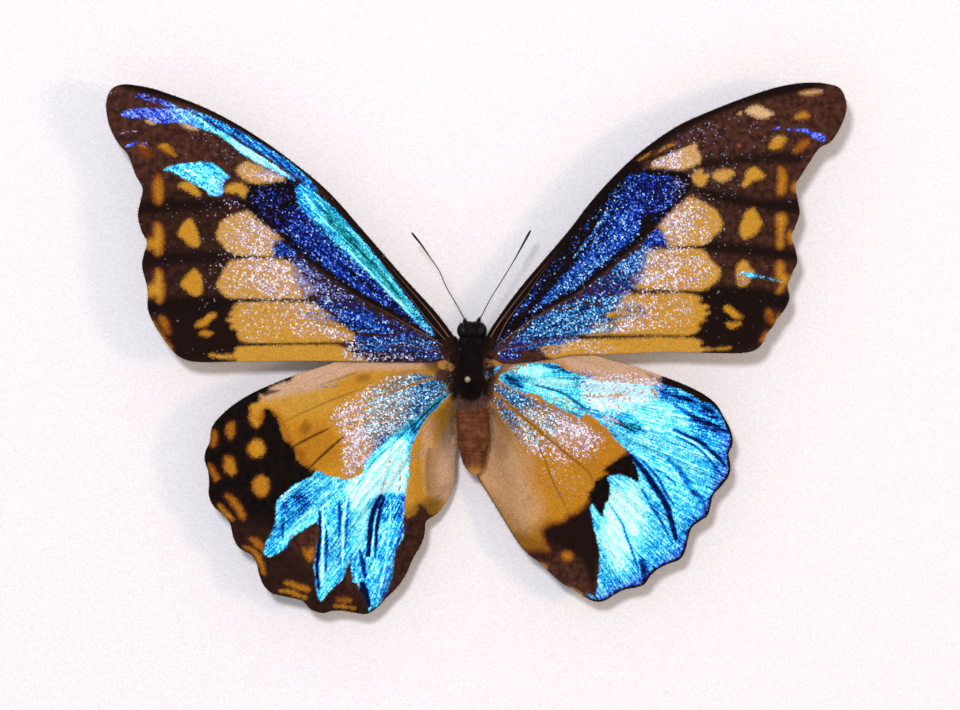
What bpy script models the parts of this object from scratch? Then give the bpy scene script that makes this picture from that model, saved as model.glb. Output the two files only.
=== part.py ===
"""A spread butterfly on an insect pin, at its real size, in metres with +Z up.

The origin is on the pin's axis, in the plane that the pin's cut end and the feet rest on.
+Y runs to the head, +X to the specimen's right as seen from above.
"""

import math

import bmesh
import bpy
from mathutils import Vector

MM = 0.001

# Driving dimensions, in millimetres.
WING_THICKNESS = 0.25
PIECE_GAP = 0.1
MERGE_DISTANCE = 0.01

BODY_X = 0.5
BODY_Z = 6.9

THORAX_FRONT_Y = 6.6
THORAX_BACK_Y = -3.6
THORAX_HALF_WIDTH = 2.25
THORAX_TALLNESS = 1.4

ABDOMEN_FRONT = (0.65, -4.1)
ABDOMEN_TIP = (1.15, -15.6)
ABDOMEN_HALF_WIDTH = 2.7
ABDOMEN_TALLNESS = 0.78
ABDOMEN_RINGS = 8

HEAD_CENTRE = (0.67, 7.95, 6.9)
HEAD_HALF = (1.55, 1.25, 1.6)
EYE_HALF = (0.85, 1.05, 1.2)
EYE_SPREAD = 1.6

PIN_SHAFT_RADIUS = 0.24
PIN_HOLE_RADIUS = 0.34
PIN_SHAFT_TOP = 17.0
PIN_HEAD_RADIUS = 0.52
PIN_HEAD_Z = 17.1

FORE_ROOT_Z = 7.7
FORE_RISE = 0.036
HIND_ROOT_Z = 6.9
HIND_RISE = 0.03
TROUGH_DEPTH = 2.7
PLEAT_HEIGHT = 0.14

MARGIN_STEPS = 64
LIMB_SAMPLES = 2
RING_SHARES = (0.0, 0.16, 0.42, 0.72, 1.0)

# Wing outlines, from the front of the hinge round the margin to its back.
LEFT_FOREWING = (
    (-2.2, 6.9), (-5.3, 11.0), (-10.0, 16.1), (-16.8, 23.9), (-22.5, 30.3),
    (-28.2, 35.1), (-35.0, 39.9), (-42.3, 43.9), (-50.0, 46.8), (-53.5, 47.6),
    (-55.9, 47.8), (-57.5, 47.2), (-58.4, 45.8), (-58.6, 43.5), (-57.9, 40.5),
    (-56.5, 38.0), (-55.1, 36.4), (-53.9, 33.2), (-52.75, 31.0), (-53.1, 28.8),
    (-53.5, 26.5), (-52.9, 24.0), (-52.0, 22.2), (-52.5, 20.3), (-52.8, 18.2),
    (-52.1, 15.3), (-51.9, 13.4), (-51.9, 11.4), (-51.0, 9.1), (-49.2, 6.3),
    (-47.6, 4.3), (-46.0, 3.2), (-43.5, 2.75), (-38.3, 2.8), (-28.9, 2.95),
    (-20.0, 2.9), (-12.0, 2.75), (-5.3, 2.85), (-2.2, 4.1),
)
RIGHT_FOREWING = (
    (3.2, 7.2), (4.45, 9.25), (8.15, 14.35), (12.05, 19.0), (16.4, 24.1),
    (20.05, 28.85), (24.2, 33.4), (28.3, 37.1), (33.9, 41.0), (39.6, 43.6),
    (45.7, 45.95), (51.0, 47.55), (55.5, 48.1), (58.7, 47.8), (60.4, 47.1),
    (61.2, 45.55), (61.4, 43.7), (60.6, 41.2), (59.0, 38.6), (57.0, 37.4),
    (55.6, 35.4), (54.0, 32.9), (53.2, 31.2), (53.55, 29.0), (53.85, 26.9),
    (53.2, 24.9), (52.5, 23.1), (53.05, 21.3), (53.45, 19.1), (52.6, 17.1),
    (51.9, 15.1), (52.2, 13.2), (51.5, 11.4), (50.3, 9.9), (49.55, 8.6),
    (48.4, 7.2), (48.0, 6.1), (46.95, 4.9), (45.0, 4.25), (40.6, 4.2),
    (32.0, 4.4), (24.0, 4.05), (17.4, 3.95), (13.1, 3.2), (8.0, 2.6),
    (5.3, 2.7), (3.2, 4.1),
)
LEFT_HINDWING = (
    (-2.3, 2.6), (-5.0, 4.3), (-9.0, 5.4), (-14.0, 5.3), (-19.0, 3.8),
    (-21.3, 2.85), (-24.7, 1.7), (-27.9, 0.7), (-31.2, -0.6), (-35.0, -2.3),
    (-38.5, -4.5), (-41.0, -6.9), (-41.75, -8.5), (-41.9, -10.2), (-42.6, -11.7),
    (-42.75, -13.2), (-42.2, -15.0), (-42.05, -16.9), (-42.1, -18.9), (-41.3, -20.7),
    (-39.95, -21.9), (-38.65, -23.45), (-38.15, -25.6), (-37.4, -27.2), (-36.2, -28.05),
    (-35.2, -28.6), (-34.3, -30.0), (-33.95, -31.7), (-33.2, -33.5), (-31.9, -34.8),
    (-30.2, -35.25), (-28.0, -35.75), (-26.7, -36.25), (-25.5, -37.5), (-23.6, -38.1),
    (-21.8, -37.7), (-19.7, -37.8), (-17.5, -38.2), (-16.2, -38.15), (-14.6, -37.1),
    (-13.3, -35.7), (-12.3, -34.75), (-11.2, -33.55), (-10.1, -31.9), (-8.9, -29.2),
    (-7.6, -27.0), (-7.0, -25.1), (-6.9, -23.5), (-6.3, -22.8), (-5.05, -22.0),
    (-3.5, -19.95), (-2.4, -17.3), (-2.0, -15.0), (-2.1, -11.5), (-2.35, -8.3),
    (-2.4, -2.6),
)
RIGHT_HINDWING = (
    (3.2, 2.6), (6.0, 4.3), (10.0, 5.4), (14.5, 5.4), (18.5, 4.6),
    (20.3, 4.05), (23.15, 3.1), (27.0, 2.1), (30.8, 0.75), (34.6, -0.65),
    (38.25, -2.4), (40.4, -4.1), (41.6, -6.1), (42.55, -7.85), (43.05, -9.6),
    (42.95, -10.9), (42.4, -12.1), (42.6, -13.4), (42.7, -14.7), (42.3, -16.0),
    (41.1, -17.55), (39.9, -18.9), (39.5, -20.5), (39.0, -22.15), (37.6, -23.2),
    (36.4, -24.2), (35.8, -26.1), (35.4, -27.8), (34.5, -29.35), (32.5, -30.1),
    (30.8, -31.0), (29.65, -32.1), (28.7, -33.4), (27.2, -33.95), (25.6, -34.25),
    (24.1, -34.95), (22.8, -35.8), (21.5, -36.25), (19.9, -35.95), (17.7, -34.6),
    (14.95, -32.95), (12.0, -30.15), (9.8, -28.45), (7.85, -26.15), (5.95, -23.1),
    (3.1, -18.5), (1.55, -16.0), (1.3, -14.0), (1.6, -10.0), (2.3, -6.0),
    (3.2, -2.6),
)


def clear_scene():
    for thing in list(bpy.data.objects):
        bpy.data.objects.remove(thing)


def new_collection(name):
    collection = bpy.data.collections.new(name)
    bpy.context.scene.collection.children.link(collection)
    return collection


def material(name, colour, roughness, metallic=0.0):
    made = bpy.data.materials.new(name)
    made.use_nodes = True
    shader = made.node_tree.nodes["Principled BSDF"]
    shader.inputs["Base Color"].default_value = (*colour, 1.0)
    shader.inputs["Roughness"].default_value = roughness
    shader.inputs["Metallic"].default_value = metallic
    return made


def add_object(name, data, collection, finish=None):
    made = bpy.data.objects.new(name, data)
    collection.objects.link(made)
    if finish:
        data.materials.append(finish)
    return made


def smooth_step(value):
    value = min(max(value, 0.0), 1.0)
    return value * value * (3.0 - 2.0 * value)


def spline_point(points, place):
    """A point of the smooth curve through points; place counts from the first of them."""
    last = len(points) - 1
    index = min(int(place), last - 1)
    share = place - index
    before = points[max(index - 1, 0)]
    start = points[index]
    end = points[index + 1]
    after = points[min(index + 2, last)]
    blended = []
    for p0, p1, p2, p3 in zip(before, start, end, after):
        turn = 2.0 * p0 - 5.0 * p1 + 4.0 * p2 - p3
        lift = -p0 + 3.0 * p1 - 3.0 * p2 + p3
        value = 2.0 * p1 + (p2 - p0) * share + turn * share**2 + lift * share**3
        blended.append(0.5 * value)
    return blended


def trough(x, y):
    """How far a hindwing's inner fold dips beside the abdomen."""
    inward = smooth_step((9.5 - abs(x - BODY_X)) / 7.5)
    backward = smooth_step((-2.0 - y) / 5.0)
    return TROUGH_DEPTH * inward * backward


def pleat(x, y, hinge_x, hinge_y, count):
    """The fluting between the veins, which fan out from the hinge."""
    reach = math.hypot(x - hinge_x, y - hinge_y)
    bearing = math.atan2(y - hinge_y, abs(x - hinge_x))
    return PLEAT_HEIGHT * math.cos(count * bearing) * smooth_step(reach / 18.0)


def forewing_height(x, y):
    outward = abs(x) - 2.2
    return FORE_ROOT_Z + FORE_RISE * outward + pleat(x, y, 0.0, 5.0, 22)


def hindwing_height(x, y):
    outward = abs(x) - 2.2
    return HIND_ROOT_Z + HIND_RISE * outward - trough(x, y) + pleat(x, y, 0.0, 0.5, 22)


def make_wing(name, outline, height, finish, collection):
    """An open fan of quads from the hinge to the margin, thickened by Solidify."""
    front = Vector(outline[0])
    back = Vector(outline[-1])
    rings = len(RING_SHARES) - 1
    bm = bmesh.new()
    bmesh.ops.create_grid(bm, x_segments=MARGIN_STEPS, y_segments=rings, size=1.0)
    for vertex in bm.verts:
        along = 0.5 * (vertex.co.x + 1.0)
        ring = round(0.5 * (vertex.co.y + 1.0) * rings)
        margin = Vector(spline_point(outline, along * (len(outline) - 1)))
        hinge = front.lerp(back, along)
        x, y = hinge.lerp(margin, RING_SHARES[ring])
        vertex.co = Vector((x, y, height(x, y))) * MM
    bmesh.ops.remove_doubles(bm, verts=bm.verts, dist=MERGE_DISTANCE * MM)
    bmesh.ops.recalc_face_normals(bm, faces=bm.faces)
    mesh = bpy.data.meshes.new(name)
    bm.to_mesh(mesh)
    bm.free()
    wing = add_object(name, mesh, collection, finish)
    mesh.shade_smooth()
    shell = wing.modifiers.new("thickness", "SOLIDIFY")
    shell.thickness = WING_THICKNESS * MM
    shell.offset = 0.0
    return wing


def turned(name, profile, steps, finish, collection):
    """A closed body turned about Y from a profile of (y, radius), tip to tip."""
    bm = bmesh.new()
    ring = [bm.verts.new((radius * MM, y * MM, 0.0)) for y, radius in profile]
    for start, end in zip(ring, ring[1:]):
        bm.edges.new((start, end))
    mesh = bpy.data.meshes.new(name)
    bm.to_mesh(mesh)
    bm.free()
    body = add_object(name, mesh, collection, finish)
    screw = body.modifiers.new("turn", "SCREW")
    screw.axis = "Y"
    screw.steps = steps
    screw.render_steps = steps
    screw.use_merge_vertices = True
    screw.merge_threshold = 0.00001
    screw.use_smooth_shade = True
    return body


def ball(name, centre, half, segments, finish, collection):
    bm = bmesh.new()
    bmesh.ops.create_uvsphere(bm, u_segments=segments, v_segments=segments // 2, radius=1.0)
    for vertex in bm.verts:
        scaled = [value * size * MM for value, size in zip(vertex.co, half)]
        vertex.co = Vector(scaled)
    mesh = bpy.data.meshes.new(name)
    bm.to_mesh(mesh)
    bm.free()
    mesh.shade_smooth()
    made = add_object(name, mesh, collection, finish)
    made.location = Vector(centre) * MM
    return made


def rod(name, radius, bottom, top, finish, collection):
    bm = bmesh.new()
    bmesh.ops.create_cone(
        bm,
        cap_ends=True,
        segments=20,
        radius1=radius * MM,
        radius2=radius * MM,
        depth=(top - bottom) * MM,
    )
    mesh = bpy.data.meshes.new(name)
    bm.to_mesh(mesh)
    bm.free()
    made = add_object(name, mesh, collection, finish)
    made.location.z = 0.5 * (bottom + top) * MM
    return made


def limb(name, points, finish, collection):
    """A tapering tube through (x, y, z, radius) points."""
    curve = bpy.data.curves.new(name, "CURVE")
    curve.dimensions = "3D"
    curve.bevel_depth = MM
    curve.bevel_resolution = 2
    curve.use_fill_caps = True
    count = (len(points) - 1) * LIMB_SAMPLES + 1
    spline = curve.splines.new("POLY")
    spline.points.add(count - 1)
    for index, point in enumerate(spline.points):
        x, y, z, radius = spline_point(points, index / LIMB_SAMPLES)
        point.co = (x * MM, y * MM, z * MM, 1.0)
        point.radius = radius
    return add_object(name, curve, collection, finish)


def cut(body, cutter):
    cutter.hide_render = True
    cutter.display_type = "WIRE"
    difference = body.modifiers.new("cut " + cutter.name, "BOOLEAN")
    difference.operation = "DIFFERENCE"
    difference.solver = "EXACT"
    difference.object = cutter


def thorax_profile():
    shape = (
        (0.0, 0.0), (0.012, 0.42), (0.06, 0.72), (0.17, 0.9), (0.35, 0.99),
        (0.55, 1.0), (0.72, 0.93), (0.84, 0.76), (0.9, 0.62), (0.96, 0.55),
        (0.99, 0.36), (1.0, 0.0),
    )
    length = THORAX_FRONT_Y - THORAX_BACK_Y
    points = [(THORAX_BACK_Y + length * y, THORAX_HALF_WIDTH * r) for y, r in shape]
    return points[::-1]


def abdomen_profile():
    """Rings that swell between grooves, over an envelope that tapers to the tip."""
    length = ABDOMEN_FRONT[1] - ABDOMEN_TIP[1]
    per_ring = 3
    count = ABDOMEN_RINGS * per_ring
    points = [(0.0, 0.0)]
    for index in range(count + 1):
        share = 0.015 + 0.97 * index / count
        envelope = math.sqrt(max(1.0 - ((share - 0.38) / 0.62) ** 2, 0.0))
        if share < 0.38:
            envelope = 1.0 - 0.9 * ((0.38 - share) / 0.38) ** 3.2
        swell = 1.0 - 0.035 * math.cos(2.0 * math.pi * index / per_ring)
        points.append((-length * share, ABDOMEN_HALF_WIDTH * envelope * swell))
    points.append((-length, 0.0))
    return points


def build_wings(collection):
    fore = material("forewing_brown_and_gold", (0.16, 0.07, 0.03), 0.55)
    hind = material("hindwing_blue_and_gold", (0.1, 0.3, 0.45), 0.45)
    make_wing("left_forewing", LEFT_FOREWING, forewing_height, fore, collection)
    make_wing("right_forewing", RIGHT_FOREWING, forewing_height, fore, collection)
    make_wing("left_hindwing", LEFT_HINDWING, hindwing_height, hind, collection)
    make_wing("right_hindwing", RIGHT_HINDWING, hindwing_height, hind, collection)


def build_trunk(collection, cutters):
    dark = material("thorax_black_cuticle", (0.012, 0.011, 0.009), 0.6)
    brown = material("abdomen_brown_cuticle", (0.17, 0.06, 0.02), 0.5)
    thorax = turned("thorax", thorax_profile(), 24, dark, collection)
    thorax.location = (BODY_X * MM, 0.0, BODY_Z * MM)
    thorax.scale.z = THORAX_TALLNESS
    cut(thorax, rod("pin_hole", PIN_HOLE_RADIUS, 1.0, 13.0, None, cutters))
    abdomen = turned("abdomen", abdomen_profile(), 18, brown, collection)
    lean = Vector(ABDOMEN_TIP) - Vector(ABDOMEN_FRONT)
    abdomen.location = (ABDOMEN_FRONT[0] * MM, ABDOMEN_FRONT[1] * MM, BODY_Z * MM)
    abdomen.rotation_euler.z = math.atan2(lean.x, -lean.y)
    abdomen.scale.z = ABDOMEN_TALLNESS


def build_head(collection, cutters):
    black = material("head_black_cuticle", (0.014, 0.012, 0.011), 0.55)
    eye_finish = material("eye_dark_facets", (0.02, 0.014, 0.01), 0.2)
    palp_finish = material("palp_dark_scales", (0.02, 0.015, 0.012), 0.7)
    head = ball("head", HEAD_CENTRE, HEAD_HALF, 20, black, collection)
    for side, name in ((-1, "left"), (1, "right")):
        centre = Vector(HEAD_CENTRE) + Vector((side * EYE_SPREAD, 0.0, 0.1))
        ball(name + "_eye", centre, EYE_HALF, 16, eye_finish, collection)
        socket_half = [size + PIECE_GAP for size in EYE_HALF]
        cut(head, ball(name + "_eye_socket", centre, socket_half, 16, None, cutters))
        reach = 1.0 if side < 0 else 0.65
        middle_x = HEAD_CENTRE[0]
        palp = (
            (middle_x + side * 0.75, 9.2, 6.0, 0.3),
            (middle_x + side * (0.95 + 0.4 * reach), 9.6, 6.5, 0.26),
            (middle_x + side * (1.1 + 0.95 * reach), 9.95, 7.1, 0.13),
        )
        limb(name + "_palp", palp, palp_finish, collection)


def build_antennae(collection):
    finish = material("antenna_black_cuticle", (0.02, 0.016, 0.014), 0.4)
    left = (
        (0.15, 8.95, 8.4, 0.1), (-0.35, 9.5, 8.75, 0.09), (-2.0, 12.4, 9.1, 0.08),
        (-3.5, 15.0, 9.3, 0.08), (-4.6, 17.5, 9.5, 0.08), (-6.0, 19.6, 9.7, 0.09),
        (-7.6, 21.9, 9.9, 0.16), (-8.7, 23.25, 10.0, 0.19), (-9.1, 23.75, 10.0, 0.1),
    )
    right = (
        (1.2, 8.95, 8.4, 0.1), (1.95, 9.7, 8.75, 0.09), (3.6, 12.85, 9.1, 0.08),
        (5.0, 15.1, 9.3, 0.08), (6.3, 17.2, 9.5, 0.08), (7.5, 19.2, 9.7, 0.09),
        (9.0, 21.9, 9.9, 0.16), (9.9, 23.55, 10.0, 0.19), (10.2, 24.1, 10.0, 0.1),
    )
    limb("left_antenna", left, finish, collection)
    limb("right_antenna", right, finish, collection)


def build_legs(collection):
    finish = material("leg_brown_cuticle", (0.06, 0.03, 0.018), 0.5)
    foot = 0.15
    routes = {
        "foreleg": ((0.8, 5.5, 4.6, 0.26), (1.25, 6.7, 4.3, 0.24), (0.85, 7.9, 4.75, 0.15)),
        "midleg": (
            (1.15, 3.2, 3.9, 0.36), (2.6, 4.6, 3.5, 0.4), (4.7, 6.9, 4.3, 0.3),
            (5.6, 8.8, 1.3, 0.22), (6.1, 10.4, foot, foot), (6.3, 11.0, foot, foot),
        ),
        "hindleg": (
            (1.15, -0.2, 3.8, 0.36), (2.7, -1.2, 3.2, 0.4), (4.9, -3.2, 3.9, 0.3),
            (5.9, -5.0, 1.3, 0.22), (6.5, -7.0, foot, foot), (6.7, -7.6, foot, foot),
        ),
    }
    for side, name in ((-1, "left"), (1, "right")):
        for kind, route in routes.items():
            placed = [(BODY_X + side * x, y, z, radius) for x, y, z, radius in route]
            limb(name + "_" + kind, placed, finish, collection)


def build_pin(collection, cutters):
    steel = material("pin_black_steel", (0.05, 0.05, 0.05), 0.35, metallic=1.0)
    brass = material("pin_head_brass", (0.55, 0.48, 0.3), 0.3, metallic=1.0)
    rod("pin_shaft", PIN_SHAFT_RADIUS, 0.0, PIN_SHAFT_TOP, steel, collection)
    half = (PIN_HEAD_RADIUS, PIN_HEAD_RADIUS, PIN_HEAD_RADIUS)
    head = ball("pin_head", (0.0, 0.0, PIN_HEAD_Z), half, 16, brass, collection)
    socket_radius = PIN_SHAFT_RADIUS + 0.5 * PIECE_GAP
    socket_top = PIN_SHAFT_TOP + 0.5 * PIECE_GAP
    cut(head, rod("pin_head_socket", socket_radius, 15.0, socket_top, None, cutters))


def main():
    clear_scene()
    specimen = new_collection("pinned_butterfly")
    cutters = new_collection("cutters")
    build_wings(specimen)
    build_trunk(specimen, cutters)
    build_head(specimen, cutters)
    build_antennae(specimen)
    build_legs(specimen)
    build_pin(specimen, cutters)


main()
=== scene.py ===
import math
import random

import bmesh
import bpy
import numpy as np
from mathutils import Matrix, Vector, kdtree


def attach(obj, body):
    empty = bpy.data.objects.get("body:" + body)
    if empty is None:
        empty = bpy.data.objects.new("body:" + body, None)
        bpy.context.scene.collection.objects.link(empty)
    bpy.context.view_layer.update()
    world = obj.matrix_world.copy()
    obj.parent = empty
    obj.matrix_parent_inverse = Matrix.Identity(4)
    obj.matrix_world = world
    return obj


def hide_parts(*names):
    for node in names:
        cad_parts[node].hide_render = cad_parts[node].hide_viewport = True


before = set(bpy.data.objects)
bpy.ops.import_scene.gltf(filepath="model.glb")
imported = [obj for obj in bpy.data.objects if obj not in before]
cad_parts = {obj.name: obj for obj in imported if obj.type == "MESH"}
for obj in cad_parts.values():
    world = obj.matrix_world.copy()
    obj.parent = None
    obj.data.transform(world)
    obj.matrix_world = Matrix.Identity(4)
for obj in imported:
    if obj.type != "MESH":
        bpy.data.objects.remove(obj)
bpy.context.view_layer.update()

# The specimen is worked out in millimetres, with +Y to its head, and scaled to metres as each mesh is made.
MM = 0.001

# The wings: heights and rises at their hinges, and the fineness of their sheets.
BODY_X = 0.5
BODY_Z = 6.9
HINGE_REACH = 2.2
FORE_ROOT_Z = 7.7
FORE_RISE = 0.036
FORE_FAN_Y = 5.0
HIND_ROOT_Z = 6.9
HIND_RISE = 0.03
HIND_FAN_Y = 0.5
TROUGH_DEPTH = 2.7
PLEAT_HEIGHT = 0.14
PLEATS = 22
WING_CELL = 0.2
WING_THICKNESS = 0.14
SNAP_SHARE = 0.36
REACH = 4.0
GOLD_SOFTNESS = 2.4
SATIN_SOFTNESS = 0.8
CREASE_DEPTH = 0.08
SCALE_SPACING = 0.11

# The body.
THORAX_FRONT_Y = 6.6
THORAX_BACK_Y = -3.6
THORAX_HALF_WIDTH = 1.85
THORAX_TALLNESS = 1.4
THORAX_SHARES = (
    (0.0, 0.0), (0.012, 0.42), (0.06, 0.72), (0.17, 0.9), (0.35, 0.99), (0.55, 1.0),
    (0.72, 0.93), (0.84, 0.76), (0.9, 0.62), (0.96, 0.55), (0.99, 0.36), (1.0, 0.0),
)
ABDOMEN_FRONT = (0.65, -4.1)
ABDOMEN_TIP = (1.15, -15.6)
ABDOMEN_HALF_WIDTH = 2.52
ABDOMEN_TALLNESS = 0.78
ABDOMEN_PLATES = 8
HEAD_CENTRE = (0.67, 7.9, 6.9)
HEAD_HALF = (1.75, 1.45, 1.6)
EYE_HALF = (1.1, 1.35, 1.3)
EYE_SPREAD = 1.36

# The stage and the view.
BOARD_HALF = 1.2
VIEW_CENTRE = (2.0, 3.9, 8.0)
VIEW_WIDTH = 156.1
VIEW_DISTANCE = 0.65
SENSOR_WIDTH = 36.0
LAMPS = (
    ("overhead_softbox", (-0.1, 0.18, 0.83), 0.1, 4.2, "f2f3ff"),
    ("warm_softbox", (0.62, -0.02, 0.62), 0.14, 1.5, "ffd8a4"),
)
ROOM_COLOUR = "e6e8f2"
ROOM_LIGHT = 0.6

# Routes of the antennae and legs: x, y, z and radius. A leg's x is counted outward from the middle.
ANTENNAE = {
    "left": (
        (0.15, 8.95, 8.4, 0.1), (-0.35, 9.5, 8.75, 0.09), (-2.0, 12.4, 9.1, 0.08),
        (-3.5, 15.0, 9.3, 0.08), (-4.6, 17.5, 9.5, 0.08), (-6.0, 19.6, 9.7, 0.09),
        (-7.6, 21.9, 9.9, 0.16), (-8.7, 23.25, 10.0, 0.19), (-9.1, 23.75, 10.0, 0.1),
    ),
    "right": (
        (1.2, 8.95, 8.4, 0.1), (1.95, 9.7, 8.75, 0.09), (3.6, 12.85, 9.1, 0.08),
        (5.0, 15.1, 9.3, 0.08), (6.3, 17.2, 9.5, 0.08), (7.5, 19.2, 9.7, 0.09),
        (9.0, 21.9, 9.9, 0.16), (9.9, 23.55, 10.0, 0.19), (10.2, 24.1, 10.0, 0.1),
    ),
}
LEGS = {
    "foreleg": ((0.8, 5.5, 4.6, 0.26), (1.25, 6.7, 4.3, 0.24), (0.85, 7.9, 4.75, 0.15)),
    "midleg": (
        (1.15, 3.2, 3.9, 0.36), (2.6, 4.6, 3.5, 0.4), (4.7, 6.9, 4.3, 0.3),
        (5.6, 8.8, 1.3, 0.22), (6.1, 10.4, 0.15, 0.15), (6.3, 11.0, 0.15, 0.15),
    ),
    "hindleg": (
        (1.15, -0.2, 3.8, 0.36), (2.7, -1.2, 3.2, 0.4), (4.9, -3.2, 3.9, 0.3),
        (5.9, -5.0, 1.3, 0.22), (6.5, -7.0, 0.15, 0.15), (6.7, -7.6, 0.15, 0.15),
    ),
}


def read_wing(text):
    """A wing's lines by kind. Each line is a kind, its words and numbers, and then its points as x,y."""
    wing = {"outline": [], "gold": [], "blue": [], "wash": [], "stroke": [], "vein": []}
    for token in text.split():
        if token in wing:
            line = []
            points = []
            wing[token].append(line)
        elif "," in token:
            if not points:
                line.append(points)
            x, y = token.split(",")
            points.append((float(x), float(y)))
        else:
            line.append(token if token.isalpha() else float(token))
    wing["outline"] = wing["outline"][0][0]
    return wing


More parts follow.
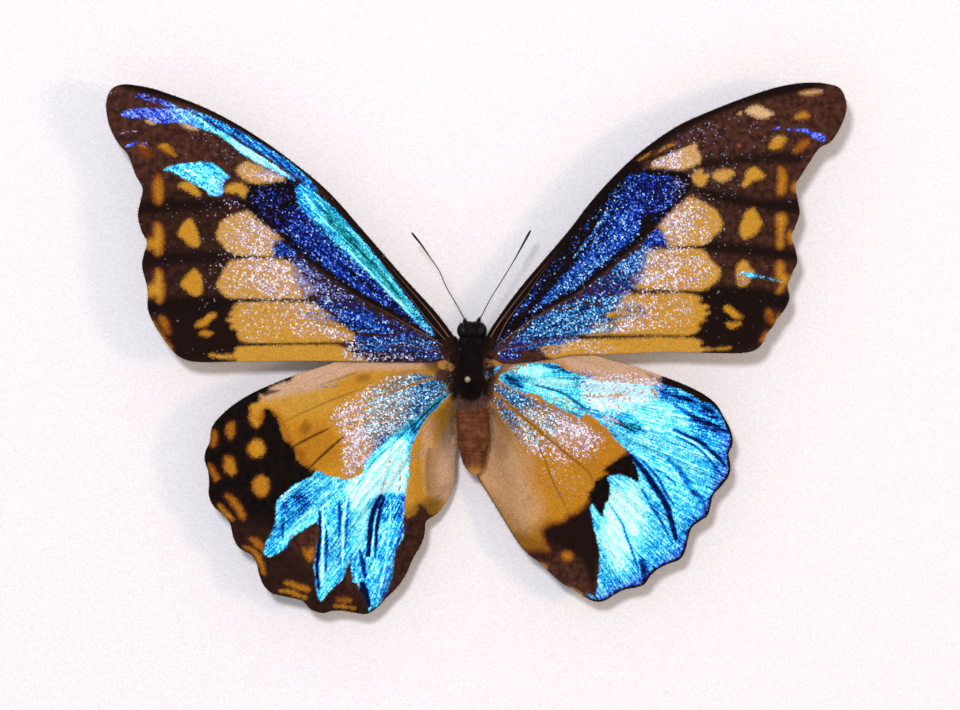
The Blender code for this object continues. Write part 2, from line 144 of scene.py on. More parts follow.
# The wings, in millimetres. A wing's lines are, by their first word:
# outline: the wing's edge, from the front of the hinge round the margin to its back.
# gold: a gold mark, with its tone from rust 0 to cream 1.
# blue: a blue mark, with its brightness, a painted sheen from navy to white-cyan, from 0 to 1.
# wash: a soft-edged patch, with the field that it changes, the value and the width of its edge.
# stroke: a tapering line, with the field that it changes, the value and the width.
# vein: from the hinge to the margin, with its radius at both ends.
WINGS = {
    "left_forewing": read_wing("""
outline -2.2,6.9 -5.3,11 -10,16.1 -16.8,23.9 -22.5,30.3 -28.2,35.1 -35,39.9 -42.3,43.9 -50,46.8 -53.5,47.6
-55.9,47.8 -57.5,47.2 -58.4,45.8 -58.6,43.5 -57.9,40.5 -56.5,38 -55.1,36.4 -53.9,33.2 -52.75,31 -53.1,28.8
-53.5,26.5 -52.9,24 -52,22.2 -52.5,20.3 -52.8,18.2 -52.1,15.3 -51.9,13.4 -51.9,11.4 -51,9.1 -49.2,6.3
-47.6,4.3 -46,3.2 -43.5,2.75 -38.3,2.8 -28.9,2.95 -20,2.9 -12,2.75 -5.3,2.85 -2.2,4.1
gold .9 -52.4,42 -51.6,42.15 -50.6,41.5 -51.6,41.4
gold .95 -46.8,41.7 -45,41.5 -43.7,40.5 -45.5,40.6
gold .12 -53.4,37.8 -52.6,37.9 -51.6,36.6 -51.9,36.1 -52.9,36.8
gold .5 -50.1,37.6 -49,38.2 -48,37.4 -47.3,36.2 -48.5,36.5
gold .55 -47.1,31.2 -46,32.1 -44.6,31.7 -43.7,30.7 -43.4,29.7 -44.6,29.9 -46,30.7
gold .6 -39.5,30.5 -38.9,31.5 -37.3,31.9 -36.2,31.4 -35.7,30.5 -36.3,29.4 -37.2,29.9 -38.3,30.2
gold .76 -37.6,34 -36.2,35.3 -34.6,35 -32.2,34 -29.5,32.65 -31.1,32 -33.6,31.7 -35,31.8 -36.6,32.5
gold .7 -35.8,27.3 -34.2,26 -32.2,24.4 -30.1,22.6 -31.3,21.8 -31.5,19.95 -35,19.95 -37.2,20.1 -39.1,21
-40.1,22 -40.8,23 -40.6,24.4 -40,25.6 -38.3,26.5
gold .66 -38.3,19.3 -39.4,18 -40.3,16.5 -40.8,15.2 -40.1,14.3 -38.7,13.1 -35,12.95 -30,13 -26.5,13.2
-25,14.6 -26.6,16.5 -27.6,18.2 -30.6,19.5 -34.5,19.6
gold .6 -36.8,12.5 -38.2,11.7 -37.9,11.3 -38.9,10.6 -38.4,10.1 -39.2,9.6 -38.3,8.9 -38.5,8.3 -37.4,7.7
-37.4,7.1 -36,5.8 -30,5.75 -24,5.85 -19,6.2 -18.5,7.4 -21.5,9.4 -23.5,11.3 -25.5,12.3 -31,12.6
gold .6 -37.6,5.1 -36,5.45 -30,5.6 -23.6,5.65 -20.8,5.4 -18.6,4.2 -17.4,2 -37,2 -37.5,3.1 -39.5,3.25
-41.9,3.7 -41.5,4.1 -39.5,4 -38,4.2
gold .52 -45.2,26.1 -44.4,25.4 -43.8,23.6 -43.4,22.3 -43.9,21.4 -45.2,21.7 -46.4,22.8 -47.1,23.6 -46.4,25
gold .5 -44.4,17.9 -43.3,16.9 -43,15.3 -43.3,13.6 -44.8,13.7 -46,14.6 -46.6,15.5 -45.8,16.6
gold .45 -44.4,8.6 -43.1,9.8 -41.7,10.7 -40.8,10.4 -41.7,9.4 -43.1,8.4
gold .38 -43.6,7.5 -42.6,8 -41.4,7.6 -42,6.9 -43,7
gold .36 -50.3,33 -49.8,32.2 -49.6,30.5 -49.8,28.9 -50.5,28.7 -50.9,30 -50.8,31.8
gold .48 -50.4,25.2 -49.8,24.6 -49.5,22.8 -49.7,20.9 -50.3,20.2 -50.9,21 -52,21.4 -52.1,22.4 -50.9,23
-50.8,24.6
gold .55 -50.2,17.7 -49.7,17 -49.4,15 -49.6,13 -50.1,12.6 -50.7,13.4 -51.9,13.6 -52,15 -50.9,15.6 -50.6,17.2
gold .25 -49.9,10.1 -49.1,9.6 -48.5,8.4 -48.4,7.5 -49,7.7 -49.7,8.8
gold .62 -51.2,9.3 -50.2,7.9 -49.2,6.7 -48.1,5.1 -48.2,4.4 -49.8,5.6 -51.4,8.2
blue .5 -56.2,42.7 -54.5,43.8 -50,43.95 -46.4,43.8 -43.6,42.8 -42,41.6 -40,40.4 -37.2,38.6 -34.2,36.6
-31.1,34.6 -28.7,33 -28.2,32.1 -29.6,32.8 -32.2,34.2 -35,35.5 -37,36.9 -39.1,38.6 -41.3,40 -44.3,40.9
-46.8,41.6 -50,41.5 -52.3,42.2
blue .35 -54.7,46.1 -52.4,46.2 -50.8,45.6 -48.5,45 -46.6,44.2 -48.8,44.2 -51,44.9 -53,45.5
blue .3 -45.6,44 -42,42.7 -38.5,41 -35,39.1 -31.5,36.9 -28.3,34.7 -25.6,32.3 -24.2,30.4 -25.4,30.9
-27.6,32.7 -30,34.3 -33,36.3 -36.5,38.5 -40,40.7 -43,42.5
blue .35 -55.4,37.7 -54.4,38.4 -53.3,38.3 -54.3,37.8
blue .3 -53,38.2 -52.3,38.3 -51.9,38.1 -52.6,38
blue .67 -49.3,34 -48,34.6 -46.4,34.9 -44.3,35.1 -42.9,35.2 -41.3,35 -40.3,34.2 -39.3,33.4 -38.5,32.8
-39.3,32.3 -39.7,31.3 -39.7,30.1 -40.9,29.6 -41.9,29.9 -42.9,30.9 -44.3,31.6 -45.6,32.3 -47.4,33.3
blue .58 -27.9,31.2 -27,31.7 -25.5,31 -22,28 -18,23.7 -15,20.2 -12,16.2 -9,12.2 -6.5,9 -5.4,7.2 -6.4,7.4
-9,9.8 -12,13 -15.5,16.5 -18,19 -21,21.7 -24.5,25.2 -27.2,28 -27.9,29.8
wash dusk .5 8 -62,28 -35,32 -20,20 -2,8 -2,0 -60,0
wash dusk .9 4 -49,12.5 -41,13 -36,10 -36,4 -44,2 -48.5,4
wash dusk .9 1.4 -53.6,28.8 -47,29.2 -40,29.2 -40,27.6 -47,27.2 -53.6,26.8
wash dusk .9 1.4 -53,20.4 -47,20.8 -40,20.6 -40,18.8 -47,18.6 -53,18.2
wash dusk .95 1.4 -52.4,12.4 -46,13.2 -38.6,13.2 -38.6,11.4 -46,10.8 -51.8,10.6
wash dusk .95 1.2 -2,8 -10,17.5 -22,31.5 -29,37.5 -40,44.5 -56,50 -56,47.3 -47,44.9 -40.3,42.2 -29.6,35.3
-24,30.9 -12,16.6 -4.8,6.6
wash dusk 1 .6 -4,5.6 -6.5,7.1 -10,9.1 -13.3,11 -16.3,12.5 -18.4,13.7 -20.2,15.2 -25,18.5 -26.8,19.8
-31,23.2 -35.8,27.6 -37.5,29 -36,31.4 -30,32.4 -27.5,32.2 -22,28.5 -12,17 -5,8.4
wash rust .95 1 -54,34.6 -48.6,34.6 -48.4,12 -53.2,11.6
wash rust .7 1 -54.4,38.4 -50.4,38 -50.6,35 -54.2,35.4
wash rust .6 1 -52,11.4 -48,11 -46.8,3 -52.6,6
wash glitter .008 3 -60,50 -2,50 -2,0 -60,0
wash glitter .08 2.5 -46,40.5 -41,39.6 -38,37 -35.4,35.6 -37,33.4 -38.4,33.6 -40.6,35.8
wash glitter .07 2 -43.6,29 -40.4,27 -41.2,22 -41.4,16 -40,12 -43.4,12 -42.6,20
wash glitter .24 1.2 -41,29.4 -38.6,29.9 -36.6,28.9 -36.2,27.9 -39,27.6
wash glitter .12 .8 -40.6,20.6 -38.8,20.4 -38.4,19.2 -40,17.6 -41.4,18.4
wash glitter .28 1.2 -35.6,30.8 -33,31.6 -27.6,31.9 -27,28.6 -28,24 -30.6,23.6 -34.6,27.4
wash glitter .1 .8 -33.6,31.6 -31,32 -28.2,31.6 -28,29.4 -30.6,30.6
wash glitter .62 2 -28.6,27.6 -24,25.4 -20,21.2 -15.4,16.6 -11.6,12.6 -7.6,9 -7,8 -12,11.2 -18,14.6 -24,18.9
-29,23
wash glitter .82 .8 -26.6,27.4 -23,24.6 -20.4,21.6 -18.2,19.4 -17,17.6 -18.6,18.2 -21.4,20.4 -24.6,24.2
wash glitter .85 .6 -24.6,19.8 -21.6,18.4 -17,15.4 -13,12.4 -13.4,12 -17.4,14.3 -22,17.4
wash glitter .2 .7 -19.6,18 -16.6,16 -14.6,14.4 -15.4,14.3 -18.8,16.6
wash glitter .05 .4 -8,8 -13.3,11.1 -18.4,13.8 -26.8,19.9 -35.8,27.5 -35,28.2 -29.6,23 -21.6,16.4 -14.4,12.3
-8,8.7
wash glitter .4 1.5 -28,19.2 -24,17 -17,12.3 -9,7.8 -5,5.3 -5,3 -20,3.2 -19,7.2 -25,10 -24.5,13.8 -27.5,16.2
wash glitter .62 1.2 -28.6,19.2 -26.4,19.2 -25,17 -25.4,13.6 -27,13.4 -28,16
wash glitter .5 1.4 -25.4,17.4 -21,14.8 -18.6,13.4 -21,13 -25.4,13.4
wash glitter .55 1.2 -24.6,12.3 -19,12.2 -16.6,11.4 -18,10 -22,10.6
wash glitter .86 .8 -21.6,10.5 -17.6,10.9 -13.4,8.8 -12.2,7.4 -15.6,7.6 -19,8.5
wash glitter .6 .8 -26.4,10.4 -23.6,10.6 -21.4,9.6 -22.6,9
wash glitter .6 1.2 -25,8.8 -22,8.4 -19.4,7.2 -19,6.2 -22,6.4
wash glitter .72 .6 -19.6,8.2 -17,6.9 -11,6.7 -6,6.4 -5,5.6 -10,5.9 -16,6 -19.2,7.2
wash glitter .42 .8 -12.6,9.6 -9,7.8 -5.2,6.2 -5,5.2 -10,6.6
wash glitter .9 .4 -18.6,5.5 -13.4,5.4 -12.8,4.9 -15,4.6 -18.2,4.8
wash glitter .5 .8 -19.6,4.4 -14,4.2 -9.6,3.8 -9.8,3.2 -19,3.2
wash glitter .4 .8 -12,5.2 -6,4.4 -5,4 -9,4.2 -12,4.6
wash glitter .36 .5 -6.8,4.1 -5,4.1 -5,3.1 -6.4,3.2
wash glitter .82 .6 -31.6,22.2 -30.4,22.4 -27.8,20.3 -31.2,20.1
wash glitter .28 2.4 -39.5,26 -36,27 -35.5,20 -39,20.5
wash glitter .62 3.4 -36.5,26.6 -31,23 -31.8,20.4 -35.6,20.4
wash glitter .3 2.4 -39.5,18 -36,19.4 -35.5,13.3 -39.5,14
wash glitter .58 3.6 -35.5,19.4 -28.4,19.4 -27,13.6 -34,13.4
wash glitter .2 2 -37,12.2 -32,12.4 -30,6.4 -36,6.4
wash glitter .38 2.4 -31,12.4 -25,12.4 -22,8.4 -27,7 -31,10
wash glitter .46 1.2 -34.6,34.4 -31,33.6 -30.2,32.3 -33.6,32.2
wash glitter .2 1 -37.4,34.4 -35.4,35 -34.4,32.2 -36.6,32.6
wash pink .5 3 -60,50 -36,50 -36,0 -60,0
wash pink 0 1.6 -42,30 -36,31 -27,32.2 -26,29 -27.5,20.5 -38,28.4
wash pink .95 1.2 -41,27 -35.4,27.2 -31.6,23.6 -31.8,19.9 -28.6,19.4 -28,16 -26,12.8 -20,8.6 -19,3 -42,3
wash pink .7 .8 -19.8,4.6 -12,4 -9,3.7 -9,3 -19.8,3
wash pink .15 .8 -26.6,10.8 -20.6,11 -20.8,9.2 -23,8.9
wash pink .95 1.5 -38,34.5 -30,33 -30,32 -37,31.8
wash pink .3 1.6 -28,19 -25,17.6 -19,13.6 -22,12.8 -26.6,13.6
wash hue .9 3 -40,32 -27,32 -26,22 -36,24
wash hue .5 3 -26,25 -6,8 -10,9 -26,20
wash hue -.4 1 -26.6,27.4 -23,24.6 -20.4,21.6 -17,18.2 -17.4,17.4 -21.4,20.6 -25.6,25.6
wash hue -.3 1.2 -26.6,10.8 -21.6,9.8 -18,6.8 -6,6.8 -5,5.2 -13,4.6 -19,4.6 -22,7
wash hue 0 .6 -28.6,32 -27,32 -24,30.4 -24,26 -27.6,27.4
wash hue .9 4 -60,48 -48,48 -46,40 -60,34
wash hue .5 3 -48,46.5 -42,43.5 -41.5,40 -47,40.5
wash hue .1 2 -43.6,44 -38,42 -30,37 -28,34 -30,32.4 -38,37 -43.4,40.2
wash hue -.45 1.2 -25.2,30.6 -23.6,29.6 -18,23.6 -12,16.2 -7,9.4 -7.6,9 -12,13.2 -18,19.4 -23,24.4
-25.6,27.6
wash hue -1 .8 -23,27.6 -20.6,25.4 -17,21.6 -13.4,17.4 -11,14 -9.8,12 -11.6,13.2 -14,15.9 -16.6,18.5
-18.9,21.1 -21.2,23.6 -23,25.8
wash shine .46 1.6 -60,48 -48,48 -48,40 -60,36
wash shine .3 .9 -56,47 -50,46.6 -45.6,44.8 -48.8,44.1 -51,44.8 -55,45.6
wash shine .62 3 -49,44.1 -45.6,43.9 -41,40.9 -39,38.2 -47,40.5
wash shine .78 2 -43.4,42.2 -40,40.2 -37,38.2 -37,36.6 -41,39.4
wash shine .9 1.6 -38.6,39.2 -33.5,36 -29.5,33.4 -29.6,32.6 -34,34.6 -37.6,37.2
wash shine .5 .8 -23,27.6 -20.6,25.4 -17,21.6 -13.4,17.4 -11,14 -9.8,12 -11.6,13.2 -14,15.9 -16.6,18.5
-18.9,21.1 -21.2,23.6 -23,25.8
wash shine .3 1.2 -28.2,34.4 -26,32.6 -24,30.4 -25.4,30.8 -28,32.9
wash thin .08 2 -58,48 -46,48 -44,41 -58,36
wash thin .08 2 -47,44.4 -42,42.4 -38,38.8 -38,36.4 -47,41
wash thin .4 .9 -56,47 -50,46.6 -45.6,44.8 -48.8,44.1 -51,44.8 -55,45.6
wash thin .03 1 -50,35.6 -38,35.6 -38,29 -50,32
wash thin .3 1.2 -26.6,27.4 -24,25.6 -21.4,22.4 -20.4,21.4 -22,22.4 -25,25.4
wash thin .35 1 -8.6,11.4 -7,9.8 -5.4,7.4 -6.4,7.4 -8.6,9.6
stroke shine .92 .4 -19.4,21 -16.8,18.2 -14.4,15.9 -11.2,12.4 -8.6,9.9
stroke hue -.2 .6 -19.4,21 -16.8,18.2 -14.4,15.9 -11.2,12.4 -8.6,9.9
stroke shine .85 .25 -18.6,21.3 -15.4,17.8 -12.6,14.7 -10.2,11.9
stroke shine .72 .25 -24,29 -20.6,25.6 -17.4,22 -14,17.8 -11.4,14.3 -9.2,11.4
stroke shine .85 .3 -27,30.6 -24.8,27.6 -22.4,24.8
stroke crease .6 .25 -20.5,23.6 -16.4,19.5 -13.2,16 -10.8,13.1
stroke crease .6 .25 -26,29.8 -23.6,27.4 -20,23.9
stroke crease .9 .3 -44,42.9 -40,40.5 -36,38 -32,35.5 -28.4,33.1
stroke shine 1 .4 -37,38.1 -33,35.7 -29.6,33.5
stroke shade .9 .35 -40.5,19.8 -37,19.75 -33,19.75
stroke shade .6 .25 -33,19.75 -27,19.6
stroke shade .95 .4 -40,12.7 -37,12.75 -33.5,12.8
stroke shade .6 .25 -33.5,12.8 -24,12.9 -18,12.6
stroke shade .9 .35 -37.4,5.4 -35,5.6 -31,5.7
stroke shade .6 .25 -31,5.7 -23.6,5.75 -10.6,5.4 -4.4,4.5
stroke shade .35 .5 -25.4,9.4 -22,8.6 -18,7.7
stroke glitter .05 .4 -24,9.1 -21,8.2 -17.4,7.3 -12,7.2
stroke glitter .16 .3 -42.4,18 -41.2,16.6 -40,15.6
stroke glitter .16 .25 -41.8,19 -40.8,16.8 -40,15.6
stroke glitter .9 .16 -56,39.9 -54.6,40.1 -53,40
vein .108 .076 -2.6,6.2 -6.2,10.9 -11,16.4 -17.4,23.7 -23.1,29.9 -28.7,34.5 -35.2,39.2 -42.4,43.2 -50,46.2
-55.5,47.2
vein .072 .051 -3.2,5.9 -6.4,9.4 -10,14.1 -15,20.3 -20,26 -24.6,30.6 -28.4,33.9 -33.6,37.6 -40,41.4 -47,44.2
vein .072 .06 -3.9,5.4 -6.5,7 -10,9 -13.3,10.9 -16.3,12.4 -18.4,13.6 -20.2,15.1 -22.5,16.7 -25,18.4
-26.8,19.6 -30.5,22.5 -35.8,27.3
vein .05 .043 -28,20.6 -30,20 -34,19.8 -40,19.8 -46,19.4 -52.2,18.8
vein .05 .043 -18.4,13.4 -20.4,12.8 -24,12.8 -32,12.75 -40,12.6 -46,12 -51.6,11.6
vein .065 .043 -4.4,4.5 -10.6,5.4 -17,5.7 -23.6,5.75 -30,5.7 -36,5.5 -42,4.7 -48.2,5.2
vein .05 .043 -35.8,27.3 -40,28.4 -46,28.3 -53.2,27.4
vein .05 .043 -28.6,33.2 -30.4,31.8 -33.6,29.6 -35.8,27.3
vein .05 .043 -30.4,31.8 -36,31.6 -42,32.8 -48,34.3 -54.2,34.6
vein .05 .043 -28.7,33.6 -34,34.9 -40,36.6 -46,38.6 -52,40 -57.4,40.4
vein .05 .043 -40,36.6 -45,39.9 -50,42.2 -58,43.8
"""),
    "right_forewing": read_wing("""
outline 3.2,7.2 4.45,9.25 8.15,14.35 12.05,19 16.4,24.1 20.05,28.85 24.2,33.4 28.3,37.1 33.9,41 39.6,43.6
45.7,45.95 51,47.55 55.5,48.1 58.7,47.8 60.4,47.1 61.2,45.55 61.4,43.7 60.6,41.2 59,38.6 57,37.4 55.6,35.4
54,32.9 53.2,31.2 53.55,29 53.85,26.9 53.2,24.9 52.5,23.1 53.05,21.3 53.45,19.1 52.6,17.1 51.9,15.1
52.2,13.2 51.5,11.4 50.3,9.9 49.55,8.6 48.4,7.2 48,6.1 46.95,4.9 45,4.25 40.6,4.2 32,4.4 24,4.05 17.4,3.95
13.1,3.2 8,2.6 5.3,2.7 3.2,4.1
gold .8 30.5,35.6 31.7,36.1 33.5,37 35.3,37.7 36.35,38.05 37.2,38.05 37.4,37.2 37.9,36.4 37.8,35.2
36.55,34.45 34.95,33.95 33.3,34.05 31.7,34.3 29.8,34.4
gold .3 27.6,35.5 28.8,36.3 29.8,37 29,36.2
gold .2 31,36.9 32.4,37.6 34,38.3 32.4,37.9
gold .95 45.2,43.6 46.1,44.3 47.35,44.45 48.15,43.9 49.15,43.5 49.6,43 48.75,42.4 47.55,42.3 46.3,42.7
45.5,43.1
gold .9 43.9,43 44.2,43.3 44.5,43.1 44.2,42.85
gold .55 53.25,42.4 53.65,42.9 54.25,43.3 55.05,43 55.15,42.5 54.25,42.3
gold 1 53.9,46.3 55.2,46.8 57.2,46.8 57,46.4 55.4,46.1
gold .52 48.95,37.5 49.35,38.65 49.8,39.25 50.8,39.55 51.6,38.95 51.2,38 50.4,37.4 49.55,37.2
gold .18 53.05,37 53.4,37.6 54.25,38.45 55.15,38.65 55.05,38.05 54.05,37.2 53.25,36.8
gold .2 43.65,37.9 44,38.2 44.35,37.9 44,37.6
gold .6 36.45,32.95 36.95,33.75 38,34.15 38.4,33.35 39.2,33.15 38.8,32.15 38,31.2 37.15,31.55 36.55,32.15
gold .68 39.7,33.15 40.4,33.85 41.85,34.05 43.05,33.85 43.15,33.15 42.45,32.35 41.25,31.95 40,32.35
gold .53 44.5,31.3 44.7,32.15 45.3,33.75 46.1,34.35 46.95,34.25 47.55,33.75 48.25,32.95 47.55,32.35
46.3,32.15 45.5,31.3
gold .42 50.6,34.1 51.1,34 51.5,33.35 51.6,32.15 51.4,30.7 50.9,30.1 50.4,30.3 50.5,31.9 50.6,33.35
gold .64 31.1,25 32.5,26.65 34.15,28.05 35.75,29.4 36.55,29.5 38,28.9 39.4,28.05 40.4,27.45 41.05,26.25
41.45,25.2 41.15,24.4 40.2,23.4 39,22.2 38,21.65 34.95,21.45 32.5,21.65 31.9,23.2 30.9,24.4
gold .55 45.6,27.55 46.55,27.65 47.15,26.65 47.75,25.4 47.75,24.9 46.95,23.8 45.9,23 44.9,22.8 44.2,23.6
44.3,25 44.5,25.8 45,26.85
gold .5 50.2,26.3 50.8,26.75 51.4,26.6 51.6,25.45 51.2,24.6 51.1,23 51,21.6 50.5,21.4 50.3,22.2 50.4,23.8
50.2,25.4
gold .62 27.8,20.6 30.5,21.05 34.5,21.25 37.2,21.25 38.6,20.55 39.4,19.55 40.65,18.3 41.05,17.1 40.65,16.1
39.8,15.25 38.6,14.55 37.4,14.25 30.5,14.45 27,14.8 26.6,16.6 27.2,18.6
gold .6 44,18.8 44.7,19.2 45.5,18.9 45.9,18.1 46.55,17.5 46.2,17.1 45.9,16.3 45.5,15.45 44.7,14.95
43.9,15.15 43.5,16.3 43.5,17.7
gold .48 50.3,18.7 50.8,18.9 51.2,18.5 51.3,17.3 51.7,16.8 52.2,16.5 52.1,15.8 51.4,15.1 50.9,14.4 50.4,14.1
50.3,14.5 50.8,15.25 50.6,15.9 50.2,16.5 50.1,17.9
gold .58 24,13.6 30.5,13.85 34.5,14.05 36.55,13.75 38,13 37.6,12.5 39.1,11.8 38.5,11.2 39.4,10.7 38.4,10
38.7,9.4 37.5,8.9 37.7,8.3 36.15,7.05 30.5,7.15 24,7.1 19,7.2 18,8.4 20.5,10.2 23,11.9
gold .5 41.55,11.6 42.25,12 43.05,11.4 44.1,10.6 44.6,9.8 43.5,9.8 42.45,10.4 41.65,11
gold .42 41.95,8.95 42.85,9.35 44.1,9.25 44.3,8.95 43.7,8.35 42.65,8.25
gold .6 13,5.9 20,6.55 25,6.65 32.1,6.85 36.2,6.75 37.2,6.5 38.2,5.9 37.8,5.3 39.4,5 42.45,5.3 42.3,4.8
38.6,4.6 36,3.2 24,3 15,3 12,4.6
gold .2 48.55,10.8 48.85,11.2 49.4,10.4 49.6,9.55 50,9.35 49.8,8.95 48.75,9.55
gold .5 53.3,31.8 52.7,31.2 53.2,30.4 54,31
gold .5 52.3,23.9 52,23.1 52.4,22.2 53,23
gold .5 50.5,10.4 49.9,9.5 50,8.8 51,9.6
gold .5 48.5,7.6 47.9,6.9 47.6,6.2 48.6,6.2
blue .4 49.4,40.6 50.4,40.9 50.6,40.7 49.8,40.5
blue .4 51.7,40.5 52.6,40.7 52.8,40.4 52,40.3
blue .42 53.15,40.65 54.85,40.55 56.1,40.05 57.5,39.75 58.1,39.15 57.7,38.55 56.7,38.75 55.65,39.35
54.45,40.05 53.25,40.25
blue .72 43.7,17.15 45.1,17.35 46.7,17.05 48.15,16.6 50,16.15 51.3,15.75 50,15.95 48.3,16.3 47.1,16.5
46,16.45 45.2,16.75 44.6,17.05
wash dusk .2 8 62,30 44,36 35,34 20,20 2,8 2,0 60,0
wash dusk .92 4 49,13 42,14 37,12 37,5 44,3.5 48.5,6
wash dusk .9 1.4 53.6,29.2 48,29.2 42,30.4 37,31 39,29.2 47,27.6 53.6,26.9
wash dusk .9 1.4 53.2,20.8 46,21.8 39.4,22.4 38.6,20.8 46,19.8 53.2,19
wash dusk .95 1.4 52.4,13.6 46,14.8 38.6,15 38.6,12.4 46,12 51.8,11.2
wash dusk .8 1.4 54,37 48,36.6 37.6,35.6 37.8,34.4 48,35 54,35
wash dusk .95 1.2 3,8 12,20 24,34.5 28,38 44,46 58,50 58,47.4 45,44.6 34,39.6 26.6,34 22.65,30.4 15.95,22.6
9.9,14.4 4.9,6.4
wash dusk 1 .6 4.8,5.7 9.2,8.9 14.2,12 17.3,13.6 19.6,15.3 24.6,19.4 28.3,22.5 31.2,25.4 34.8,29.2 36.4,31.2
35.6,33.4 31,33.9 28,34 24.8,31.6 18.1,24.4 9.9,13.4
wash dusk 1 1.2 2,6 6,10 12,18.4 20,28.4 26,34.4 28.4,34.2 20,24.6 12,14.4 5,5.6
wash rust .5 .6 53.4,47 58,47 58,45.8 53.4,45.8
wash dusk 0 3 56.5,46.4 60.5,47 62,41 58,40
wash rust .95 1 54.4,35.4 49.4,35 49.2,13 54,12
wash rust .7 1 56.4,39.4 52,39 52,36 56,36
wash rust .6 1 51.6,11.6 48,11.6 47,5 51.6,6
wash rust .8 .8 56.6,44 56,42 52.4,41.8 52.4,43.6
wash glitter .008 3 60,50 2,50 2,0 60,0
wash glitter .05 3 47,42 38,42 38,38 40,34 50,36
wash glitter .14 1.6 31,38.2 38,41.4 41,41 39,36 37.6,37.6 33,37.6
wash glitter .08 1.6 36.6,34.4 42,36 44,31 42.4,27.4 41.6,20 41.8,16 40.4,14 40,19.6 41,24.4 40.6,28
36.6,30.6
wash glitter .48 1.2 25.6,32.4 28,33.8 34.6,33.2 35.4,30.6 31.6,26.6 27.6,26.6 25,29.6
wash glitter .08 .8 27.6,34 35.6,33.8 35.8,31.2 33.6,32.8 30.6,33.2
wash glitter .4 1.5 22,28.6 25.4,31.6 25.2,28 22.4,26.6
wash glitter .9 1.6 11.4,12.2 15,16.2 19,20.4 22,24.6 25,28 28,28.4 28.2,24.4 22,18.6 15,13.4 10.5,10.8
wash glitter .97 1.2 18,18.4 22.4,21.6 26,24.4 27,26.6 24.4,26.2 20,21.6
wash glitter .26 1 7.6,11 12,16.6 17,22.8 21.4,27.8 22,27 20,25 17.2,20.8 14.8,17.4 11.4,13.8 8.6,10.4
wash glitter .5 .5 8,10.2 9.2,11.4 11.2,14 10.6,14 8.4,11.4 6.6,8.8 7,8.6
wash glitter .96 .5 17.2,19.8 20,23.6 22.4,27.2 23.2,26.6 21.4,24.6 18.6,21
wash glitter .96 .5 12.2,12.3 14.2,14.6 17.6,17.6 18.4,17.4 15.4,14.6 13.4,12.5
wash glitter .96 .5 16.4,14.6 19.4,17.6 22.6,19.9 22.8,19.3 19.8,16.9 17.4,14.6
wash glitter .15 .35 19.2,20.4 21.6,22.6 23.4,23.4 21.4,22
wash glitter .1 .6 28.4,26.4 32.4,27.6 34.6,29.4 31,25.4 28.4,23.2
wash glitter .06 .4 6,6.7 9.2,9 14.2,12.1 17.3,13.7 19.6,15.4 24.6,19.5 28.3,22.6 32.4,26.4 31.8,26.4
26,21.3 22,18 17.4,14.4 12.2,11.6 6,7.6
wash glitter .42 1 5.3,6.2 12,10.2 20,15 27,20.8 30.5,24 31.6,22.6 27,15 24,10 17,7.2 5.3,4.6
wash glitter .88 1 6.4,6.6 10,8.9 14,11.2 17.6,12.9 20.4,13.3 24.6,13.4 24.6,11.4 23.8,9 23,7.6 18,7.2
12,6.8 7,5.9
wash glitter .96 .6 7.6,6.8 11,8.8 14.4,9.8 18,10.6 20.4,10.8 18,9.8 13.4,8.8 10,7.4
wash glitter .22 .9 4.8,6.4 9.2,9.8 10.2,8.8 7.6,6.4 5.4,4.8
wash glitter .95 .6 15.4,7.5 19,9.2 22.6,9.3 23.4,8.4 20.6,7.7
wash glitter .45 .5 14,11.4 17.4,13 21,12.8 22.4,11.6 19,11.8 15.6,11
wash glitter .1 .5 22.4,10.4 24,11 24.6,10.2 23.4,9.9
wash glitter .5 1 24.6,12.2 26.6,12 28.4,10.8 26,10.6 24.4,11.2
wash glitter .62 1 23.6,9.8 26.4,10.4 29.6,9.6 30,8.6 26,7.6 23.2,7.8
wash glitter .5 1.2 19.4,14.6 23,17.2 25.6,19.4 28,20.9 28.6,18 27.4,15.2
wash glitter .8 .5 23.8,18.2 26,19.8 28.6,21.1 28.8,20.3 26.2,18.9 24.2,17.4
wash glitter .9 .5 25.8,17.4 27.4,18.8 28.8,20 29.2,19.2 27.6,17.4 26.4,16.9
wash glitter .6 .6 21.4,16.4 25.6,16.8 25.6,15.8 21.6,15.2
wash glitter .78 .6 28.4,22 30.6,24.3 31.6,23.8 32.8,21.8 29,21.6
wash glitter .8 .8 5.3,4.4 8,5 12,5.9 16,6.5 18.6,6.6 17.6,6 13,5.3 9,4.7 5.4,4
wash glitter .4 .8 11.4,4.9 16,5.6 17.4,5.8 16,4.6 13,4
wash glitter .6 .8 5.2,4 8,4.3 8.4,3.4 6,3
wash glitter .64 3.4 31.6,25.4 35.4,28.8 37,28.4 36.2,22 33,22
wash glitter .36 2.4 37,29 40,27 40,23.5 37.5,22.2
wash glitter .68 3.4 28.4,20.6 34.5,21 34.5,15 27.6,15.2
wash glitter .38 2.4 35,21 39,19.6 39.4,16.4 35.5,14.8
wash glitter .44 2 25,13.6 31,13.8 33,9 30,7.8 27,11
wash glitter .26 2 31,13.8 36,13.6 36,9 32,8.5
wash glitter .3 1.4 17,6.2 23,6.3 23,4.4 16,4.4
wash glitter .5 1.2 30.2,35.2 33.4,37.2 35,37.2 34.6,34.4 30.5,34.6
wash glitter .14 1.2 35,37.4 37.4,37.6 37.6,35.2 35,34.4
wash glitter .3 .8 43.6,17 45.8,17.6 45.6,15.8 44.4,15.2
wash pink .5 3 60,50 36.6,50 36.6,0 60,0
wash pink 0 1 43.2,18 46.4,18 46,15 43.6,15
wash pink .95 1.2 41.5,28 36,29.6 31.6,25.2 32.6,21.5 29.4,21 28.8,18 27.6,14.9 25.6,13.6 24.4,9.6 23.2,7.4
17,6.4 17,3.5 42,4
